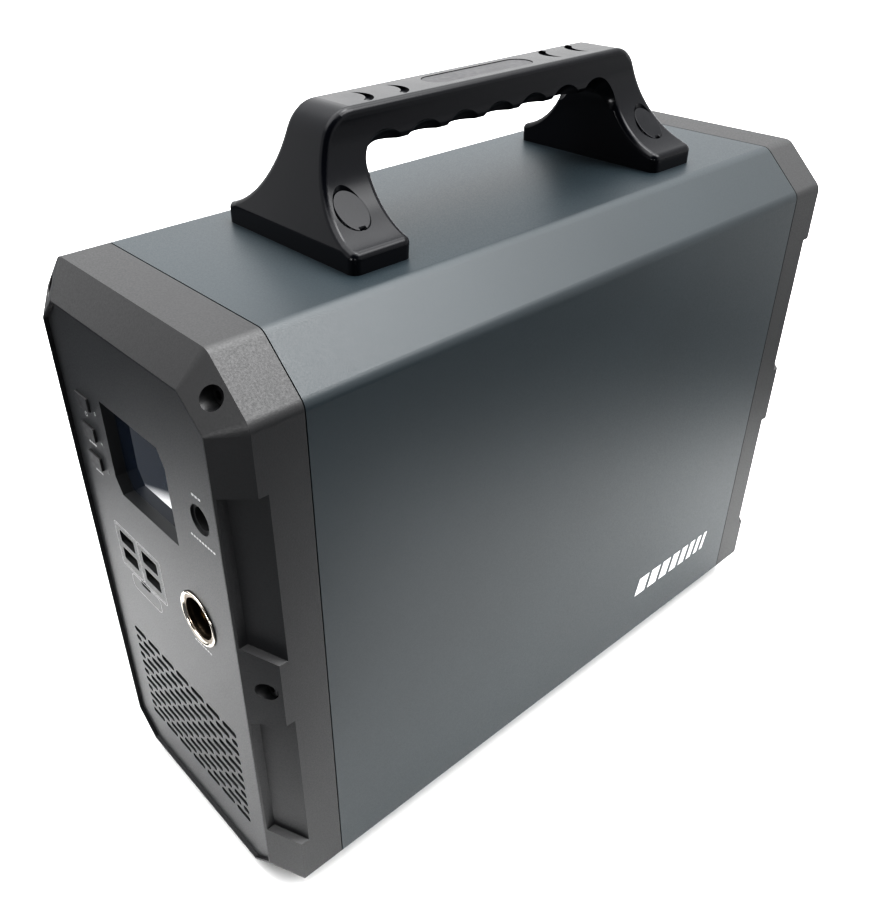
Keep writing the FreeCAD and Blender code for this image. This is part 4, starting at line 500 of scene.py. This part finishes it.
def pale_floor_painted_shade():
    """White to look at and near the object; further out it is painted dark as shade for every ray but the
    camera's, so the object reflects a dark room there.
    """
    mesh = bpy.data.meshes.new("floor")
    form = bmesh.new()
    bmesh.ops.create_circle(form, cap_ends=True, radius=9.0, segments=96)
    form.to_mesh(mesh)
    form.free()
    floor = bpy.data.objects.new("floor", mesh)
    bpy.context.scene.collection.objects.link(floor)
    shader = Shader("pale_floor_painted_shade", (0.8, 0.8, 0.8), 0.6)
    painted_shades = []
    for direction, start, end in PAINTED_SHADE_BEYOND:
        dot = shader.node("ShaderNodeVectorMath", operation="DOT_PRODUCT")
        dot.inputs[1].default_value = direction
        shader.link(shader.place, dot.inputs[0])
        painted_shades.append(shader.ranged(dot.outputs["Value"], 0, 1, start, end))
    # painted shade mask: dark where the floor lies beyond any of the lines
    dark = painted_shades[0]
    for other in painted_shades[1:]:
        highest = shader.node("ShaderNodeMath", operation="MAXIMUM")
        shader.link(dark, highest.inputs[0])
        shader.link(other, highest.inputs[1])
        dark = highest.outputs[0]
    split = shader.node("ShaderNodeSeparateXYZ")
    shader.link(shader.place, split.inputs[0])
    # the painted shade is weaker far behind the object
    painted_shade_fading_behind = shader.node("ShaderNodeMath", operation="MULTIPLY")
    shader.link(dark, painted_shade_fading_behind.inputs[0])
    shader.link(shader.ranged(split.outputs["Y"], 1, 0.62, 0.45, 0.75), painted_shade_fading_behind.inputs[1])
    mix = shader.node("ShaderNodeMix", data_type="RGBA")
    mix.inputs["A"].default_value = WHITE_FLOOR
    mix.inputs["B"].default_value = PAINTED_SHADE_FLOOR
    # the painted shade is shown to every ray but the camera's, which sees the floor white
    hidden = shader.node("ShaderNodeMath", operation="SUBTRACT", use_clamp=True)
    shader.link(painted_shade_fading_behind.outputs[0], hidden.inputs[0])
    shader.link(shader.node("ShaderNodeLightPath").outputs["Is Camera Ray"], hidden.inputs[1])
    shader.link(hidden.outputs[0], mix.inputs["Factor"])
    shader.link(mix.outputs["Result"], shader.surface.inputs["Base Color"])
    shader.set("Specular IOR Level", 0.0)
    mesh.materials.append(shader.material)


def studio_world():
    """A white room: bright ceiling and roof window, dimmer walls, and a dark doorway to the front right."""
    world = bpy.data.worlds.new("studio")
    bpy.context.scene.world = world
    world.use_nodes = True
    tree = world.node_tree
    background = tree.nodes["Background"]
    place = tree.nodes.new("ShaderNodeTexCoord").outputs["Generated"]

    def fade(value, start, end, low, high):
        item = tree.nodes.new("ShaderNodeMapRange")
        item.interpolation_type = "SMOOTHSTEP"
        for socket, number in (("From Min", start), ("From Max", end), ("To Min", low), ("To Max", high)):
            item.inputs[socket].default_value = number
        tree.links.new(value, item.inputs["Value"])
        return item.outputs["Result"]

    def combine(kind, first, second):
        item = tree.nodes.new("ShaderNodeMath")
        item.operation = kind
        tree.links.new(first, item.inputs[0])
        tree.links.new(second, item.inputs[1])
        return item.outputs[0]

    def facing(direction):
        item = tree.nodes.new("ShaderNodeVectorMath")
        item.operation = "DOT_PRODUCT"
        item.inputs[1].default_value = Vector(direction).normalized()
        tree.links.new(place, item.inputs[0])
        return item.outputs["Value"]

    split = tree.nodes.new("ShaderNodeSeparateXYZ")
    tree.links.new(place, split.inputs[0])
    ceiling = fade(split.outputs["Z"], 0.60, 0.80, 1.4, 5.0)
    roof_window = fade(facing((0.47, 0.46, 0.75)), 0.94, 0.99, 0.0, 6.5)
    back_wall = fade(split.outputs["Y"], 0.60, 0.90, 1.0, 0.75)
    doorway = fade(facing((0.66, -0.56, 0.45)), 0.60, 0.85, 1.0, 0.01)
    bright = combine("ADD", ceiling, roof_window)
    room = combine("MULTIPLY", combine("MULTIPLY", bright, back_wall), doorway)
    seen = tree.nodes.new("ShaderNodeLightPath")
    shown = tree.nodes.new("ShaderNodeMix")
    shown.data_type = "FLOAT"
    shown.inputs["B"].default_value = 0.95
    tree.links.new(seen.outputs["Is Camera Ray"], shown.inputs["Factor"])
    tree.links.new(room, shown.inputs["A"])
    tree.links.new(shown.outputs["Result"], background.inputs["Strength"])
    background.inputs["Color"].default_value = (1.0, 1.0, 1.0, 1)


def soft_light(name, place, target, size, power):
    lamp = bpy.data.lights.new(name, "AREA")
    lamp.shape = "RECTANGLE"
    lamp.size, lamp.size_y = size
    lamp.energy = power
    item = bpy.data.objects.new(name, lamp)
    item.location = place
    item.rotation_euler = (Vector(target) - Vector(place)).to_track_quat("-Z", "Y").to_euler()
    bpy.context.scene.collection.objects.link(item)


def lights():
    """A panel overhead, and two small lamps that brighten the rounded edges."""
    soft_light("ceiling_panel", (0.1, 0.5, 2.2), (0, 0, 0.1), (0.8, 0.5), 12)
    soft_light("side_lamp", (1.25, -0.96, 0.36), (0, 0, 0.2), (0.22, 0.22), 3)
    soft_light("front_lamp", (0.27, -1.75, 0.25), (0, 0, 0.2), (0.5, 0.22), 6)


def camera():
    data = bpy.data.cameras.new("camera")
    data.sensor_width = 36.0
    data.lens = 36.69
    data.shift_x = 0.0453
    data.shift_y = 0.0028
    item = bpy.data.objects.new("camera", data)
    forward = Vector((-0.6328, 0.5391, -0.5558)).normalized()
    up = Vector((-0.4099, 0.3757, 0.8312))
    right = forward.cross(up).normalized()
    up = right.cross(forward)
    item.matrix_world = Matrix((
        (right.x, up.x, -forward.x, 0.32241),
        (right.y, up.y, -forward.y, -0.32692),
        (right.z, up.z, -forward.z, 0.44409),
        (0, 0, 0, 1),
    ))
    bpy.context.scene.collection.objects.link(item)
    bpy.context.scene.camera = item


paint_nodes()
pale_floor_painted_shade()
studio_world()
lights()
camera()
bpy.context.scene.view_settings.view_transform = "Standard"
bpy.context.scene.view_settings.look = "High Contrast"
